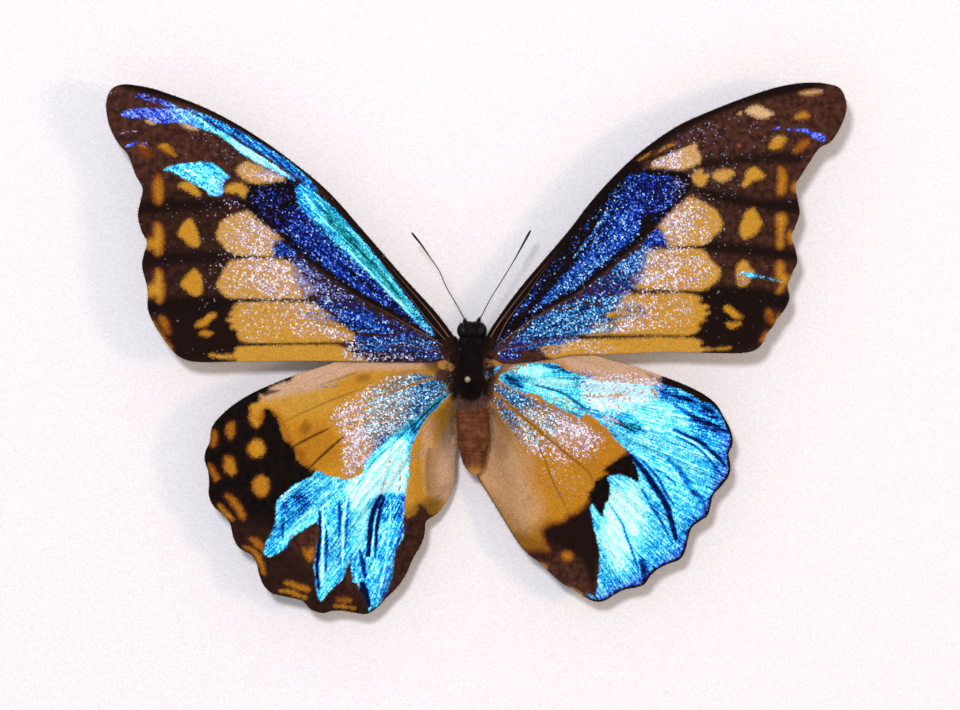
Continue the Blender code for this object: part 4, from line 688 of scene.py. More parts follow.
wash shine .34 1.6 23.6,-6.5 27.4,-7 28.2,-8.2 25.8,-8.2
wash shine .47 1.4 42.9,-8 43.3,-16 40.2,-18.6 39.9,-15 40.9,-12 40.9,-9
wash shine .5 1.6 40.4,-18 39.6,-22.6 36.6,-24 36,-28.8 33.6,-30.4 34,-26 36.6,-21.6
wash shine .57 1.4 33.8,-29 30.4,-31.2 28.4,-34.2 22,-36.6 21.6,-34 25,-32.4 27.6,-31.4 30,-28.6
wash hue -.4 2 5,1 9,3 15,2.8 18.6,.8 19,-5.4 12,-3.8 6,-1.6
wash hue .14 2 19.4,.6 31,-.4 31,-3.4 27,-5 22,-6 20,-4
wash hue .34 1.4 43.4,-8 43.4,-16.5 39.8,-24 35,-31 28,-35 21,-37 21,-34.6 27.6,-32 33.8,-27.2 38.2,-20.4
40.8,-14 41.2,-8
wash hue -.8 1.6 23.6,-6.5 27.4,-7 28.2,-8.2 25.8,-8.2
wash hue .2 .8 2.6,.6 4,.4 5.6,2.2 4.6,2.4 3.2,1.2
wash shine .55 .8 2.6,.6 4,-.2 5.8,2 4.6,2.5 3.2,1.2
stroke shade .5 .3 3.65,-1.55 7.5,-4.9 10.7,-7.65 15.3,-11.5 19.5,-14.95 20.3,-16.5
stroke glitter .05 .5 3.65,-1.55 7.5,-4.9 10.7,-7.65 15.3,-11.5 19.5,-14.95 20.3,-16.5
stroke shade .4 .25 10.35,-8.25 11.9,-11.7 12.85,-14 13.8,-16.5 14.55,-18.1 15.9,-20.6 16.3,-22.1
stroke shade .6 .5 5,.55 7.5,2.65 10.2,3.3 11.1,3.4
stroke shade .8 .6 9.6,-28.4 7.6,-26 4.4,-20.8 1.4,-15.6
stroke shade .5 .4 29,.9 30.4,.2 31.5,-.5
stroke thin .8 .45 18.7,-2.6 20.6,-2.8 23,-2.7 26,-3.1
stroke glitter .1 .45 18.7,-2.6 20.6,-2.8 23,-2.7 26,-3.1
stroke glitter .1 .9 23.4,-2.6 24.8,-2.8 26.2,-3.1
stroke thin .8 .9 23.4,-2.6 24.8,-2.8 26.2,-3.1
stroke thin 1 .6 29.9,-1.6 30.4,-2.2 30.6,-3
stroke glitter .1 .6 29.9,-1.6 30.4,-2.2 30.6,-3
stroke shade .3 .6 29.9,-1.6 30.4,-2.2 30.6,-3
stroke thin .9 .4 22.4,-6.1 23.4,-6.5 24.6,-7
stroke crease .6 .5 12.4,2.2 14.6,1.9 16.6,1
stroke crease .9 .3 11.1,-1.05 13.05,-1.55 14.95,-2.1 16.5,-2.9 17.8,-3.85 19.15,-4.8 21.25,-5.2
stroke crease .5 .8 6.4,.3 7.6,-.4 8.8,-1.3
stroke crease .6 .3 23.15,-6.15 24.1,-6.7 25.55,-7.65 27.6,-8.9
stroke crease .6 .5 31.6,-2.2 34.4,-3 37.4,-4 40,-5.4
stroke shine .75 .35 35,-4.6 38,-5.9 41,-7.5
stroke shine 1 .35 33.6,-8.8 37,-10.5 40,-13.2
stroke crease .7 .6 33.5,-4.05 35.4,-5.35 37.7,-6.7 40,-7.65 42.25,-8.8
stroke crease 1.1 .5 33.5,-8.25 36.15,-9.4 38.45,-10.7 40.35,-12.45 41.9,-14.15
stroke crease .8 .3 34,-9.3 36.4,-10.6 38.4,-12.1 40.2,-14.2 41.4,-15.8
stroke crease .55 .8 32.7,-13.2 34.6,-15.1 36.5,-17.95 37.7,-19.25 38.8,-21
stroke crease 1.25 .85 26.6,-12.45 27.9,-14 29.25,-15.7 30.8,-18.1 32.15,-20.2 32.9,-22.5 33.45,-24.45
33.85,-25.95
stroke crease 1 .32 28.5,-13.4 30,-14.95 31.2,-16.45 31.95,-18.1 33.5,-20.4
stroke crease .6 .3 30.2,-14.5 32.2,-15.6 33.9,-17.2
stroke crease .7 .35 28.3,-17.95 29.8,-20.6 31.2,-22.7 32.3,-24.8 33.3,-26.9
stroke crease .9 .3 23,-20.2 24.1,-21.9 25.2,-23.6 25.7,-25.2 26.6,-27.6 27.2,-29.4 27.8,-31
stroke crease .9 1.1 28.3,-29.6 28.8,-31.2 29.1,-33.4
stroke shine .4 .8 42.4,-9.8 42.2,-14.6 40.6,-17.6 39.1,-20.8 38.2,-22.4 36,-24.6
stroke shine .4 .8 35.2,-27.4 34,-29.2 30.8,-30.8 28.7,-32.8 25.6,-33.9 22.4,-35.4
stroke hue .75 .9 42.5,-9.8 42.3,-14.6 40.8,-17.6 39.3,-20.8 38.4,-22.4 36.2,-24.6
stroke hue .75 .9 35.3,-27.4 34.1,-29.3 30.9,-30.9 28.8,-32.9 25.6,-34 22.4,-35.5
vein .108 .06 3.8,2.2 7,3.4 11,4.2 15.5,4 20,2.6 25,1.2 31,-.4 36,-2.4 41.4,-6.6
vein .086 .06 4.6,.9 8,.6 11.1,-1.05 14.95,-2.1 19,-2.7 25.5,-3.2 30,-5.2 36,-8.2 42.6,-11.2
vein .086 .06 11.1,-1.05 14.95,-2.1 17.8,-3.85 21.25,-5.2 25.55,-7.65 30,-11 35,-14.4 41.4,-17
vein .079 .06 21.25,-5.2 24,-9 26.6,-12.45 29.25,-15.7 32.15,-20.2 35.6,-25
vein .086 .06 3.65,-1.55 5.55,-3.1 7.5,-4.9 8.85,-5.95 10.7,-7.65 13,-9.6 15.3,-11.5 17.6,-13.4 19.5,-14.95
20.6,-17.4 24,-22.4 27.2,-28 29.6,-31.6
vein .079 .06 15.3,-11.5 17.4,-15 20,-20.4 21.8,-27 23.6,-34.9
vein .072 .06 9.8,-7 11.9,-11.7 12.85,-14 13.8,-16.5 14.55,-18.1 15.9,-20.6 17,-26 18.4,-34.6
vein .072 .051 3.4,-2 5.6,-7 8.6,-13 10.4,-19 11.4,-24 12.2,-29.8
vein .072 .051 3,-2.6 4.2,-8 5.6,-14 6.4,-19 7.6,-25.2
"""),
}


def linear(code):
    """The linear colour of an sRGB hex code such as "c98f35"."""
    colour = []
    for place in (0, 2, 4):
        value = int(code[place:place + 2], 16) / 255.0
        colour.append(value / 12.92 if value <= 0.04045 else ((value + 0.055) / 1.055) ** 2.4)
    return colour + [1.0]


def fill(node, inputs):
    """Links a shader node's inputs to sockets, or sets them to values. A text is a colour's hex code."""
    for key, value in inputs.items():
        if isinstance(value, bpy.types.NodeSocket):
            node.id_data.links.new(value, node.inputs[key])
        else:
            node.inputs[key].default_value = linear(value) if isinstance(value, str) else value


# Sockets by kind of node: the output that is used where it isn't the first, and what a Mix node mixes.
USED_OUTPUTS = {"Attribute": "Fac", "TexCoord": "Object", "Mix": 2}
MIX_INPUTS = (0, 6, 7)


def add(material, kind, *inputs, **named):
    """Adds a shader node, such as Mix or Math.ADD, and gives the output that is used.

    Names that start with a capital are inputs as well, and the other names are settings.
    """
    kind, _, operation = kind.partition(".")
    made = material.node_tree.nodes.new("ShaderNode" + kind)
    if operation:
        made.operation = operation
    if kind == "Mix":
        made.data_type = "RGBA"
    for name, value in named.items():
        if name == "stops":
            ramp = made.color_ramp
            while len(ramp.elements) < len(value):
                ramp.elements.new(1.0)
            for element, (place, code) in zip(ramp.elements, value):
                element.position = place
                element.color = linear(code)
        elif name[0].isupper():
            fill(made, {name: value})
        else:
            setattr(made, name, value)
    fill(made, dict(zip(MIX_INPUTS if kind == "Mix" else range(len(inputs)), inputs)))
    return made.outputs[USED_OUTPUTS.get(kind, 0)]


def new_material(name):
    """A material, its shader, and the place on the object that its patterns follow."""
    made = bpy.data.materials.new(name)
    made.use_nodes = True
    return made, made.node_tree.nodes["Principled BSDF"], add(made, "TexCoord")


def smooth_step(value):
    value = np.clip(value, 0.0, 1.0)
    return value * value * (3.0 - 2.0 * value)


def smooth_line(points, per_span=6, closed=False):
    """Points along the smooth curve through points."""
    points = np.array(points, float)
    if closed:
        padded = np.concatenate([points[-1:], points, points[:2]])
    else:
        padded = np.concatenate([points[:1], points, points[-1:]])
    p0, p1, p2, p3 = padded[:-3], padded[1:-2], padded[2:-1], padded[3:]
    share = np.arange(per_span)[:, None, None] / per_span
    turn = 2.0 * p0 - 5.0 * p1 + 4.0 * p2 - p3
    lift = -p0 + 3.0 * p1 - 3.0 * p2 + p3
    line = 0.5 * (2.0 * p1 + (p2 - p0) * share + turn * share**2 + lift * share**3)
    line = line.transpose(1, 0, 2).reshape(-1, points.shape[1])
    return line if closed else np.concatenate([line, points[-1:]])


THORAX_CURVE = smooth_line(THORAX_SHARES, 6)


def nearest(places, line, closed):
    """Distance from each place to the line, the nearest point of it, and how far along it that is, 0 to 1."""
    ends = np.roll(line, -1, axis=0) if closed else line[1:]
    starts = line if closed else line[:-1]
    best = np.full(len(places), 1e18)
    point = np.zeros_like(places)
    along = np.zeros(len(places))
    for index, (start, end) in enumerate(zip(starts, ends)):
        span = end - start
        share = np.clip((places - start) @ span / max(span @ span, 1e-12), 0.0, 1.0)
        spot = start + share[:, None] * span
        distance = ((places - spot) ** 2).sum(axis=1)
        closer = distance < best
        best[closer] = distance[closer]
        point[closer] = spot[closer]
        along[closer] = (index + share[closer]) / len(starts)
    return np.sqrt(best), point, along


def inside(places, line):
    x, y = places.T
    found = np.zeros(len(places), bool)
    for (ax, ay), (bx, by) in zip(line, np.roll(line, -1, axis=0)):
        if ay != by:
            found ^= ((ay > y) != (by > y)) & (x < ax + (y - ay) * (bx - ax) / (by - ay))
    return found


def signed_distance(places, line, reach=REACH):
    """Millimetres to a closed line, above zero inside it, and no further than reach outside."""
    low, high = line.min(axis=0) - reach, line.max(axis=0) + reach
    near = np.all((places > low) & (places < high), axis=1)
    result = np.full(len(places), -reach)
    if near.any():
        distance = nearest(places[near], line, True)[0]
        result[near] = np.where(inside(places[near], line), distance, -distance)
    return result


def fanned(x, y, hinge):
    """Polar coordinates about the point that a wing's veins fan out from."""
    return np.hypot(x - hinge[0], y - hinge[1]), np.arctan2(y - hinge[1], np.abs(x - hinge[0]))


def pleat(x, y, fan_y):
    """The fluting between the veins, which fan out from the hinge."""
    reach, bearing = fanned(x, y, (0.0, fan_y))
    return PLEAT_HEIGHT * np.cos(PLEATS * bearing) * smooth_step(reach / 18.0)


def forewing_height(x, y):
    return FORE_ROOT_Z + FORE_RISE * (np.abs(x) - HINGE_REACH) + pleat(x, y, FORE_FAN_Y)


def hindwing_height(x, y):
    inward = smooth_step((9.5 - np.abs(x - BODY_X)) / 7.5)
    backward = smooth_step((-2.0 - y) / 5.0)
    rise = HIND_RISE * (np.abs(x) - HINGE_REACH)
    return HIND_ROOT_Z + rise - TROUGH_DEPTH * inward * backward + pleat(x, y, HIND_FAN_Y)


def creasing(reach, bearing, seed):
    """Fine creases that run out from the hinge, from sums of waves, within about -1 to 1."""
    chance = random.Random(seed)
    total = np.zeros_like(reach)
    for count, size in ((37.0, 0.3), (61.0, 0.28), (89.0, 0.24), (131.0, 0.18)):
        drift = 1.4 * np.sin(reach / chance.uniform(5.0, 9.0) + chance.uniform(0.0, 6.0))
        total += size * np.sin(count * bearing + drift + chance.uniform(0.0, 6.0))
    return total * smooth_step((reach - 3.0) / 14.0)


def new_piece(name, mesh, materials, node_names, slot):
    piece = bpy.data.objects.new(name, mesh)
    bpy.context.scene.collection.objects.link(piece)
    for finish in materials:
        mesh.materials.append(finish)
    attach(piece, "root")
    if node_names:
        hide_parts(*node_names)
    return piece


def mesh_of(bm, name, smooth=True):
    mesh = bpy.data.meshes.new(name)
    bm.to_mesh(mesh)
    bm.free()
    if smooth:
        mesh.shade_smooth()
    return mesh


def give(mesh, name, values):
    """Stores one number, or three, at each vertex."""
    values = np.asarray(values, np.float32)
    kind, key = ("FLOAT", "value") if values.ndim == 1 else ("FLOAT_VECTOR", "vector")
    mesh.attributes.new(name, kind, "POINT").data.foreach_set(key, values.ravel())


def wing_grid(outline):
    """A flat grid of small squares cut to the outline, with the squares at the edge drawn onto it."""
    line = smooth_line(outline)
    low, high = line.min(axis=0) - WING_CELL, line.max(axis=0) + WING_CELL
    cells = np.ceil((high - low) / WING_CELL).astype(int)
    bm = bmesh.new()
    bmesh.ops.create_grid(bm, x_segments=int(cells[0]), y_segments=int(cells[1]), size=0.5)
    bmesh.ops.translate(bm, verts=bm.verts, vec=(0.5, 0.5, 0.0))
    bmesh.ops.scale(bm, verts=bm.verts, vec=(cells[0] * WING_CELL, cells[1] * WING_CELL, 1.0))
    bmesh.ops.translate(bm, verts=bm.verts, vec=(low[0], low[1], 0.0))
    places = np.array([vertex.co.xy for vertex in bm.verts])
    within = signed_distance(places, line, reach=2.0 * WING_CELL)
    edge = np.abs(within) < 2.0 * WING_CELL
    spots = places.copy()
    spots[edge] = nearest(places[edge], line, True)[1]
    deep = within > SNAP_SHARE * WING_CELL
    kept = np.zeros(len(places), bool)
    doomed = []
    for face in bm.faces:
        corners = [vertex.index for vertex in face.verts]
        if any(deep[corner] for corner in corners):
            kept[corners] = True
        else:
            doomed.append(face)
    for vertex in bm.verts:
        if kept[vertex.index] and not deep[vertex.index]:
            vertex.co.xy = spots[vertex.index]
    bmesh.ops.delete(bm, geom=doomed, context="FACES")
    bmesh.ops.delete(bm, geom=[vertex for vertex in bm.verts if not vertex.link_faces], context="VERTS")
    bmesh.ops.remove_doubles(bm, verts=bm.verts, dist=0.02)
    bmesh.ops.recalc_face_normals(bm, faces=bm.faces)
    if sum(face.normal.z for face in list(bm.faces)[:50]) < 0.0:
        bmesh.ops.reverse_faces(bm, faces=bm.faces)
    return bm


# What the washes and strokes change, all as colour. A crease is also cut into the wing, and it darkens the
# blue as painted shade. Shine is the blue's painted sheen, and shade darkens towards near black, for dark
# veins and marks and as painted shade in the folds beside the body, round the hinges and under the forewings.
FIELDS = ("tone", "pale", "dusk", "shade", "rust", "shine", "hue", "crease", "thin", "glitter", "pink")


def painted_fields(places, wing):
    """The wing's markings as numbers at each place. Gold and blue are distances into their marks."""
    fields = {name: np.zeros(len(places)) for name in FIELDS}
    for kind, level in (("gold", "tone"), ("blue", "shine")):
        fields[kind] = np.full(len(places), -REACH)
        for value, points in wing[kind]:
            depth = signed_distance(places, smooth_line(points, 4, closed=True))
            wash = smooth_step(0.5 + depth / GOLD_SOFTNESS)
            wash = np.where(depth > fields[kind], np.maximum(wash, 0.5), wash)
            fields[level] += (value - fields[level]) * np.where(fields[level] == 0.0, wash > 0.0, wash)
            fields[kind] = np.maximum(fields[kind], depth)
    for name, value, edge, points in wing["wash"]:
        depth = signed_distance(places, smooth_line(points, 3, closed=True), reach=0.5 * edge + 0.1)
        fields[name] += (value - fields[name]) * smooth_step(0.5 + depth / edge)
    for name, value, width, points in wing["stroke"]:
        distance, _, along = nearest(places, smooth_line(points, 4), False)
        taper = 0.5 * width * (0.55 + 0.45 * np.sin(math.pi * np.clip(along, 0.04, 0.96)))
        fields[name] += (value - fields[name]) * smooth_step(1.6 - distance / taper)
    return fields


def make_wing(name, wing, height, hinge, materials, slot):
    """A wing's sheet, thin and creased, with its markings as attributes and the paler underside below."""
    bm = wing_grid(wing["outline"])
    places = np.array([vertex.co.xy for vertex in bm.verts])
    fields = painted_fields(places, wing)
    x, y = places.T
    reach, bearing = fanned(x, y, hinge)
    satin = smooth_step(0.5 + fields["blue"] / SATIN_SOFTNESS)
    relief = creasing(reach, bearing, name)
    heights = height(x, y) + 0.5 * WING_THICKNESS + relief * (0.02 + 0.07 * satin)
    heights -= CREASE_DEPTH * fields["crease"]
    for vertex, up in zip(bm.verts, heights):
        vertex.co = Vector((vertex.co.x, vertex.co.y, up)) * MM
    mesh = mesh_of(bm, name)
    give(mesh, "fan", np.stack([bearing * 26.0, reach, np.zeros(len(x))], axis=1))
    for field, values in fields.items():
        give(mesh, field, values)
    sheet = new_piece(name + "_scales", mesh, materials, [name], slot)
    shell = sheet.modifiers.new("thickness", "SOLIDIFY")
    shell.thickness = WING_THICKNESS * MM
    shell.offset = -1.0
    shell.material_offset = 1
    return sheet


def tube_mesh(name, lines, sides=1):
    """Tapering tubes along lines of x, y, z and radius in millimetres, as one mesh."""
    curve = bpy.data.curves.new(name, "CURVE")
    curve.dimensions = "3D"
    curve.bevel_depth = MM
    curve.bevel_resolution = sides
    curve.use_fill_caps = True
    for line in lines:
        spline = curve.splines.new("POLY")
        spline.points.add(len(line) - 1)
        for point, (x, y, z, radius) in zip(spline.points, line):
            point.co = (x * MM, y * MM, z * MM, 1.0)
            point.radius = radius
    holder = bpy.data.objects.new(name + "_curve", curve)
    mesh = bpy.data.meshes.new_from_object(holder)
    mesh.name = name
    bpy.data.objects.remove(holder)
    bpy.data.curves.remove(curve)
    mesh.shade_smooth()
    return mesh


def vertex_places(mesh):
    """The mesh's vertices, in millimetres."""
    places = np.empty(3 * len(mesh.vertices))
    mesh.vertices.foreach_get("co", places)
    return places.reshape(-1, 3) / MM


def make_veins(name, wing, height, hinge, finish, slot):
    """Veins stand up a little from the wing and are pale where they are bare, near the hinge."""
    lines = []
    for start, end, points in wing["vein"]:
        line = smooth_line(points, 5)
        share = np.linspace(0.0, 1.0, len(line))
        radius = start + (end - start) * share
        ups = height(line[:, 0], line[:, 1]) + 0.5 * WING_THICKNESS - 0.25 * radius - 0.06 * share
        lines.append(np.column_stack([line, ups, radius]))
    mesh = tube_mesh(name, lines)
    places = vertex_places(mesh)[:, :2]
    for field, values in painted_fields(places, wing).items():
        give(mesh, field, values)
    reach = fanned(*places.T, hinge)[0]
    give(mesh, "vein", np.ones(len(places)))
    give(mesh, "bare", smooth_step(1.15 - reach / 22.0))
    return new_piece(name, mesh, [finish], [], slot)


def body_of_rings(name, rings, around, form):
    """A closed body. Its form(share, angle) gives x, y and z, with share from 0 to 1 along it."""
    bm = bmesh.new()
    bmesh.ops.create_uvsphere(bm, u_segments=around, v_segments=rings, radius=1.0)

    # The sphere's faces come in another order on each run. Hairs are rooted by that order, so it is set.
    bm.verts.index_update()
    ordered = sorted(bm.faces, key=lambda face: [vertex.index for vertex in face.verts])
    ranks = {face: rank for rank, face in enumerate(ordered)}
    bm.faces.sort(key=ranks.get)

    for vertex in bm.verts:
        share = 1.0 - math.acos(max(-1.0, min(1.0, vertex.co.z))) / math.pi
        angle = math.atan2(vertex.co.y, vertex.co.x)
        vertex.co = form(share, angle)
    bmesh.ops.recalc_face_normals(bm, faces=bm.faces)
    if bm.calc_volume(signed=True) < 0.0:
        bmesh.ops.reverse_faces(bm, faces=bm.faces)
    bmesh.ops.scale(bm, verts=bm.verts, vec=(MM, MM, MM))
    return mesh_of(bm, name)


def lump(centre, half):
    """The form of a rounded mass for body_of_rings."""
    def form(share, angle):
        turn = math.pi * share
        ring = math.sin(turn)
        values = (ring * math.cos(angle), -math.cos(turn), ring * math.sin(angle))
        return [middle + reach * value for middle, reach, value in zip(centre, half, values)]
    return form


def notch(place, centre, width):
    return math.exp(-(((place - centre) / width) ** 2))


def thorax_form(share, angle):
    """The fused thorax, with the seams between its plates."""
    y = THORAX_BACK_Y + (THORAX_FRONT_Y - THORAX_BACK_Y) * share
    radius = THORAX_HALF_WIDTH * float(np.interp(share, THORAX_CURVE[:, 0], THORAX_CURVE[:, 1]))
    up = math.sin(angle)
    across = math.cos(angle)
    seams = 0.13 * notch(y + 0.35 * abs(across), 5.1, 0.22)
    seams += 0.14 * notch(y + 0.7 * abs(across), -0.8, 0.2)
    seams += 0.1 * notch(y, -2.4, 0.2)
    if up > 0.0:
        seams += 0.05 * notch(across, 0.0, 0.08) * smooth_step((y - 0.2) / 1.2)
        seams += 0.05 * notch(abs(across), 0.62, 0.07)
    else:
        seams += 0.07 * notch(up, -0.35, 0.08) + 0.06 * notch(y, 2.0, 0.25)
    radius *= 1.0 - seams
    return BODY_X + radius * across, y, BODY_Z + THORAX_TALLNESS * radius * up


def abdomen_form(share, angle):
    """Eight plates, each lapping over the next, dried and creased, from a broad front to the tip."""
    along = 1.0 - share
    if along < 0.13:
        envelope = 1.0 - 0.9 * ((0.13 - along) / 0.13) ** 3.2
    elif along < 0.38:
        envelope = 1.0
    else:
        envelope = math.sqrt(max(1.0 - ((along - 0.38) / 0.62) ** 2, 0.0))
    plate = (along * ABDOMEN_PLATES) % 1.0
    swell = 1.0 + 0.035 * plate - 0.05 * notch(plate, 0.0, 0.06) - 0.05 * notch(plate, 1.0, 0.06)
    across = math.cos(angle)
    up = math.sin(angle)
    y = ABDOMEN_FRONT[1] + (ABDOMEN_TIP[1] - ABDOMEN_FRONT[1]) * along
    creases = 0.02 * math.sin(9.0 * angle + 14.0 * along) * notch(up, 1.0, 0.8)
    creases += 0.012 * math.sin(23.0 * along + 3.0 * angle)
    bent = y + 0.12 * math.sin(3.0 * across)
    creases -= sum(0.09 * notch(bent, place, 0.13) for place in (-6.4, -11.8, -12.5))
    fold = 0.09 * notch(up, -0.25, 0.12)
    radius = ABDOMEN_HALF_WIDTH * envelope * swell * (1.0 - fold + creases)
    front = Vector(ABDOMEN_FRONT)
    tip = Vector(ABDOMEN_TIP)
    axis = front.lerp(tip, along)
    lean = (tip - front).normalized()
    wide = radius * across
    return axis.x - lean.y * wide, axis.y + lean.x * wide, BODY_Z + ABDOMEN_TALLNESS * radius * up


def head_form(share, angle):
    """A broad, squarish head with a groove behind the antennae and one down the face."""
    turn = math.pi * (1.0 - share)
    across = math.cos(angle) * math.sin(turn)
    along = math.sin(angle) * math.sin(turn)
    up = math.cos(turn)
    groove = 0.06 * notch(along, 0.15, 0.1) * smooth_step(2.0 * up)
    groove += 0.05 * notch(across, 0.0, 0.1) * smooth_step(2.0 * along)
    bump = 0.05 * notch(along, 0.8, 0.3) * notch(across, -0.2, 0.4)
    corner = 0.22 * (2.0 * across * along) ** 2
    size = 1.0 - groove + bump + corner
    values = (across, along, up)
    return [centre + half * size * value for centre, half, value in zip(HEAD_CENTRE, HEAD_HALF, values)]


def make_eye(name, side, finish):
    """A compound eye. Its facets are drawn at 0.2 mm, ten times their real size, so that they show."""
    pattern = bmesh.new()
    bmesh.ops.create_icosphere(pattern, subdivisions=3, radius=1.0)
    tree = kdtree.KDTree(len(pattern.verts))
    for vertex in pattern.verts:
        tree.insert(vertex.co, vertex.index)
    tree.balance()
    pattern.free()
    bm = bmesh.new()
    bmesh.ops.create_icosphere(bm, subdivisions=5, radius=1.0)
    centre = Vector(HEAD_CENTRE) + Vector((side * EYE_SPREAD, 0.0, 0.1))
    for vertex in bm.verts:
        gap = tree.find(vertex.co)[2]
        vertex.co *= 1.0 - 0.035 * smooth_step(gap / 0.09)
        vertex.co = (Vector(EYE_HALF) * vertex.co + centre) * MM
    return new_piece(name + "_facets", mesh_of(bm, name), [finish], [name], "eye_cuticle")


def ringed(points, rings, depth, first=0.0):
    """The line through points, closely sampled, with its radius dipping at each of its ring joints."""
    line = smooth_line(points, 16)
    steps = np.linalg.norm(np.diff(line[:, :3], axis=0), axis=1)
    length = np.concatenate([[0.0], np.cumsum(steps)])
    length /= length[-1]
    phases = (np.arange(rings)[:, None] + np.array([0.0, 0.14, 0.5, 0.86])).ravel() / rings
    places = np.append(phases, 1.0)
    sampled = np.column_stack([np.interp(places, length, line[:, axis]) for axis in range(4)])
    dips = np.tile([1.0 - depth, 1.0, 1.04, 1.0], rings)
    sampled[:-1, 3] *= np.where(places[:-1] >= first, dips, 1.0)
    return sampled


def make_antenna(name, points, finish):
    mesh = tube_mesh(name, [ringed(points, 46, 0.26)], 3)
    return new_piece(name + "_rings", mesh, [finish], [name], "antenna_cuticle")


def make_leg(name, route, side, finish, spine_finish):
    """A jointed leg with a row of rings at the foot, two claws, and spines."""
    placed = [(BODY_X + side * x, y, z, radius) for x, y, z, radius in route]
    line = smooth_line(placed, 10)
    knots = np.arange(len(line)) / 10.0
    for joint in range(1, len(placed) - 1):
        line[:, 3] *= 1.0 - 0.28 * np.exp(-(((knots - joint) / 0.12) ** 2))
    foot = knots > len(placed) - 3
    line[foot, 3] *= 1.0 - 0.22 * (np.cos(knots[foot] * 2.0 * math.pi * 2.5) > 0.75)
    tip = line[-1]
    ahead = line[-1, :3] - line[-4, :3]
    ahead /= np.linalg.norm(ahead)
    claws = []
    for turn in (-1.0, 1.0):
        aside = np.array([-ahead[1], ahead[0], 0.0]) * turn
        bend = [
            tip[:3] + ahead * 0.3 * share + aside * 0.22 * math.sin(2.2 * share)
            for share in (0.0, 0.3, 0.6, 1.0)
        ]
        claws.append(np.column_stack([bend, (0.05, 0.045, 0.035, 0.012)]))
    mesh = tube_mesh(name, [line] + claws, 3)
    leg = new_piece(name + "_joints", mesh, [finish], [name], "leg_cuticle")
    lean = (ahead[0], ahead[1], ahead[2] - 0.2)
    hairs(
        name + "_spines", leg, 150, above(0.1), 7, lean, (0.22, 0.45), 0.02, 0.5,
        spine_finish, "leg_cuticle",
    )
    return leg


def make_proboscis(finish):
    """The coiled tongue, under the head."""
    line = []
    for step in range(90):
        share = step / 89.0
        turn = 1.2 + 2.0 * math.pi * 2.6 * share
        reach = 0.72 - 0.5 * share
        radius = 0.11 - 0.05 * share
        line.append((HEAD_CENTRE[0], 8.65 + reach * math.cos(turn), 4.85 + reach * math.sin(turn), radius))
    return new_piece("proboscis", tube_mesh("proboscis", [line], 3), [finish], [], "head_cuticle")


def hair_shape():
    """One hair of unit length: a three-sided spike, cut across so that it can bend."""
    bm = bmesh.new()
    bmesh.ops.create_cone(bm, cap_ends=True, segments=3, radius1=1.0, radius2=0.0, depth=1.0)
    bmesh.ops.translate(bm, verts=bm.verts, vec=(0.0, 0.0, 0.5))
    whole = bm.verts[:] + bm.edges[:] + bm.faces[:]
    bmesh.ops.bisect_plane(bm, geom=whole, plane_co=(0.0, 0.0, 0.45), plane_no=(0.0, 0.0, 1.0))
    bm.verts.index_update()
    places = np.array([vertex.co for vertex in bm.verts])
    faces = [[vertex.index for vertex in face.verts] for face in bm.faces]
    bm.free()
    return places, faces


def unit(vectors):
    return vectors / np.maximum(np.linalg.norm(vectors, axis=-1, keepdims=True), 1e-9)


def grown(name, roots, normals, chance, lean, lengths, width, lift, finish, slot):
    """Hairs from their roots, bent from the surface towards their lean, as one mesh."""
    count = len(roots)
    up = unit(normals * lift + chance.normal(0.0, 0.16, (count, 3)))
    over = unit(np.array(lean) + chance.normal(0.0, 0.22, (count, 3)))
    side = unit(np.cross(over, up))
    front = np.cross(side, up)
    length = chance.uniform(*lengths, count)
    shape, faces = hair_shape()
    rise = shape[:, 2][None, :, None]
    path = rise * (1.0 - 0.3 * rise) * up[:, None] + rise * (0.35 + 0.65 * rise) * over[:, None]
    places = roots[:, None] + length[:, None, None] * path
    places += width * (shape[None, :, :1] * side[:, None] + shape[None, :, 1:2] * front[:, None])
    order = len(shape) * np.arange(count)
    joined = bpy.data.meshes.new(name)
    joined.from_pydata(
        (places.reshape(-1, 3) * MM).tolist(), [],
        [[corner + start for corner in face] for start in order.tolist() for face in faces],
    )
    give(joined, "tint", np.repeat(chance.uniform(0.0, 1.0, count), len(shape)))
    joined.shade_smooth()
    return new_piece(name, joined, [finish], [], slot)


def hairs(name, carrier, count, density, seed, lean, lengths, width, lift, finish, slot):
    """Hairs rooted on a piece where density, a share from 0 to 1 at each place, is above 0."""
    mesh = carrier.data
    total = len(mesh.polygons)
    centres, normals, areas = np.empty(3 * total), np.empty(3 * total), np.empty(total)
    mesh.polygons.foreach_get("center", centres)
    mesh.polygons.foreach_get("normal", normals)
    mesh.polygons.foreach_get("area", areas)
    centres, normals = centres.reshape(-1, 3) / MM, normals.reshape(-1, 3)
    chance = np.random.default_rng(seed)
    areas = areas * density(centres)
    picked = chance.choice(total, count, p=areas / areas.sum())
    spread = np.sqrt(areas[picked] / MM**2)[:, None]
    roots = centres[picked] + spread * chance.uniform(-0.6, 0.6, (count, 3)) * (1.0 - np.abs(normals[picked]))
    return grown(name, roots, normals[picked], chance, lean, lengths, width, lift, finish, slot)


def edge_scales(name, outline, height, seed, finish, slot):
    """The short scales that stand out all round a wing's margin, one every SCALE_SPACING."""
    line = smooth_line(outline)
    steps = np.linalg.norm(np.diff(line, axis=0), axis=1)
    reach = np.concatenate([[0.0], np.cumsum(steps)])
    places = np.arange(0.0, reach[-1], SCALE_SPACING)
    x, y = np.interp(places, reach, line[:, 0]), np.interp(places, reach, line[:, 1])
    ahead = unit(np.column_stack([np.gradient(x), np.gradient(y)]))
    area = 0.5 * np.sum(x * np.roll(y, -1) - y * np.roll(x, -1))
    out = np.column_stack([ahead[:, 1], -ahead[:, 0], np.zeros(len(x))]) * np.sign(area)
    roots = np.column_stack([x, y, height(x, y)]) - 0.08 * out
    chance = np.random.default_rng(seed)
    return grown(name, roots, out, chance, (0.0, 0.0, 0.02), (0.15, 0.3), 0.05, 1.2, finish, slot)


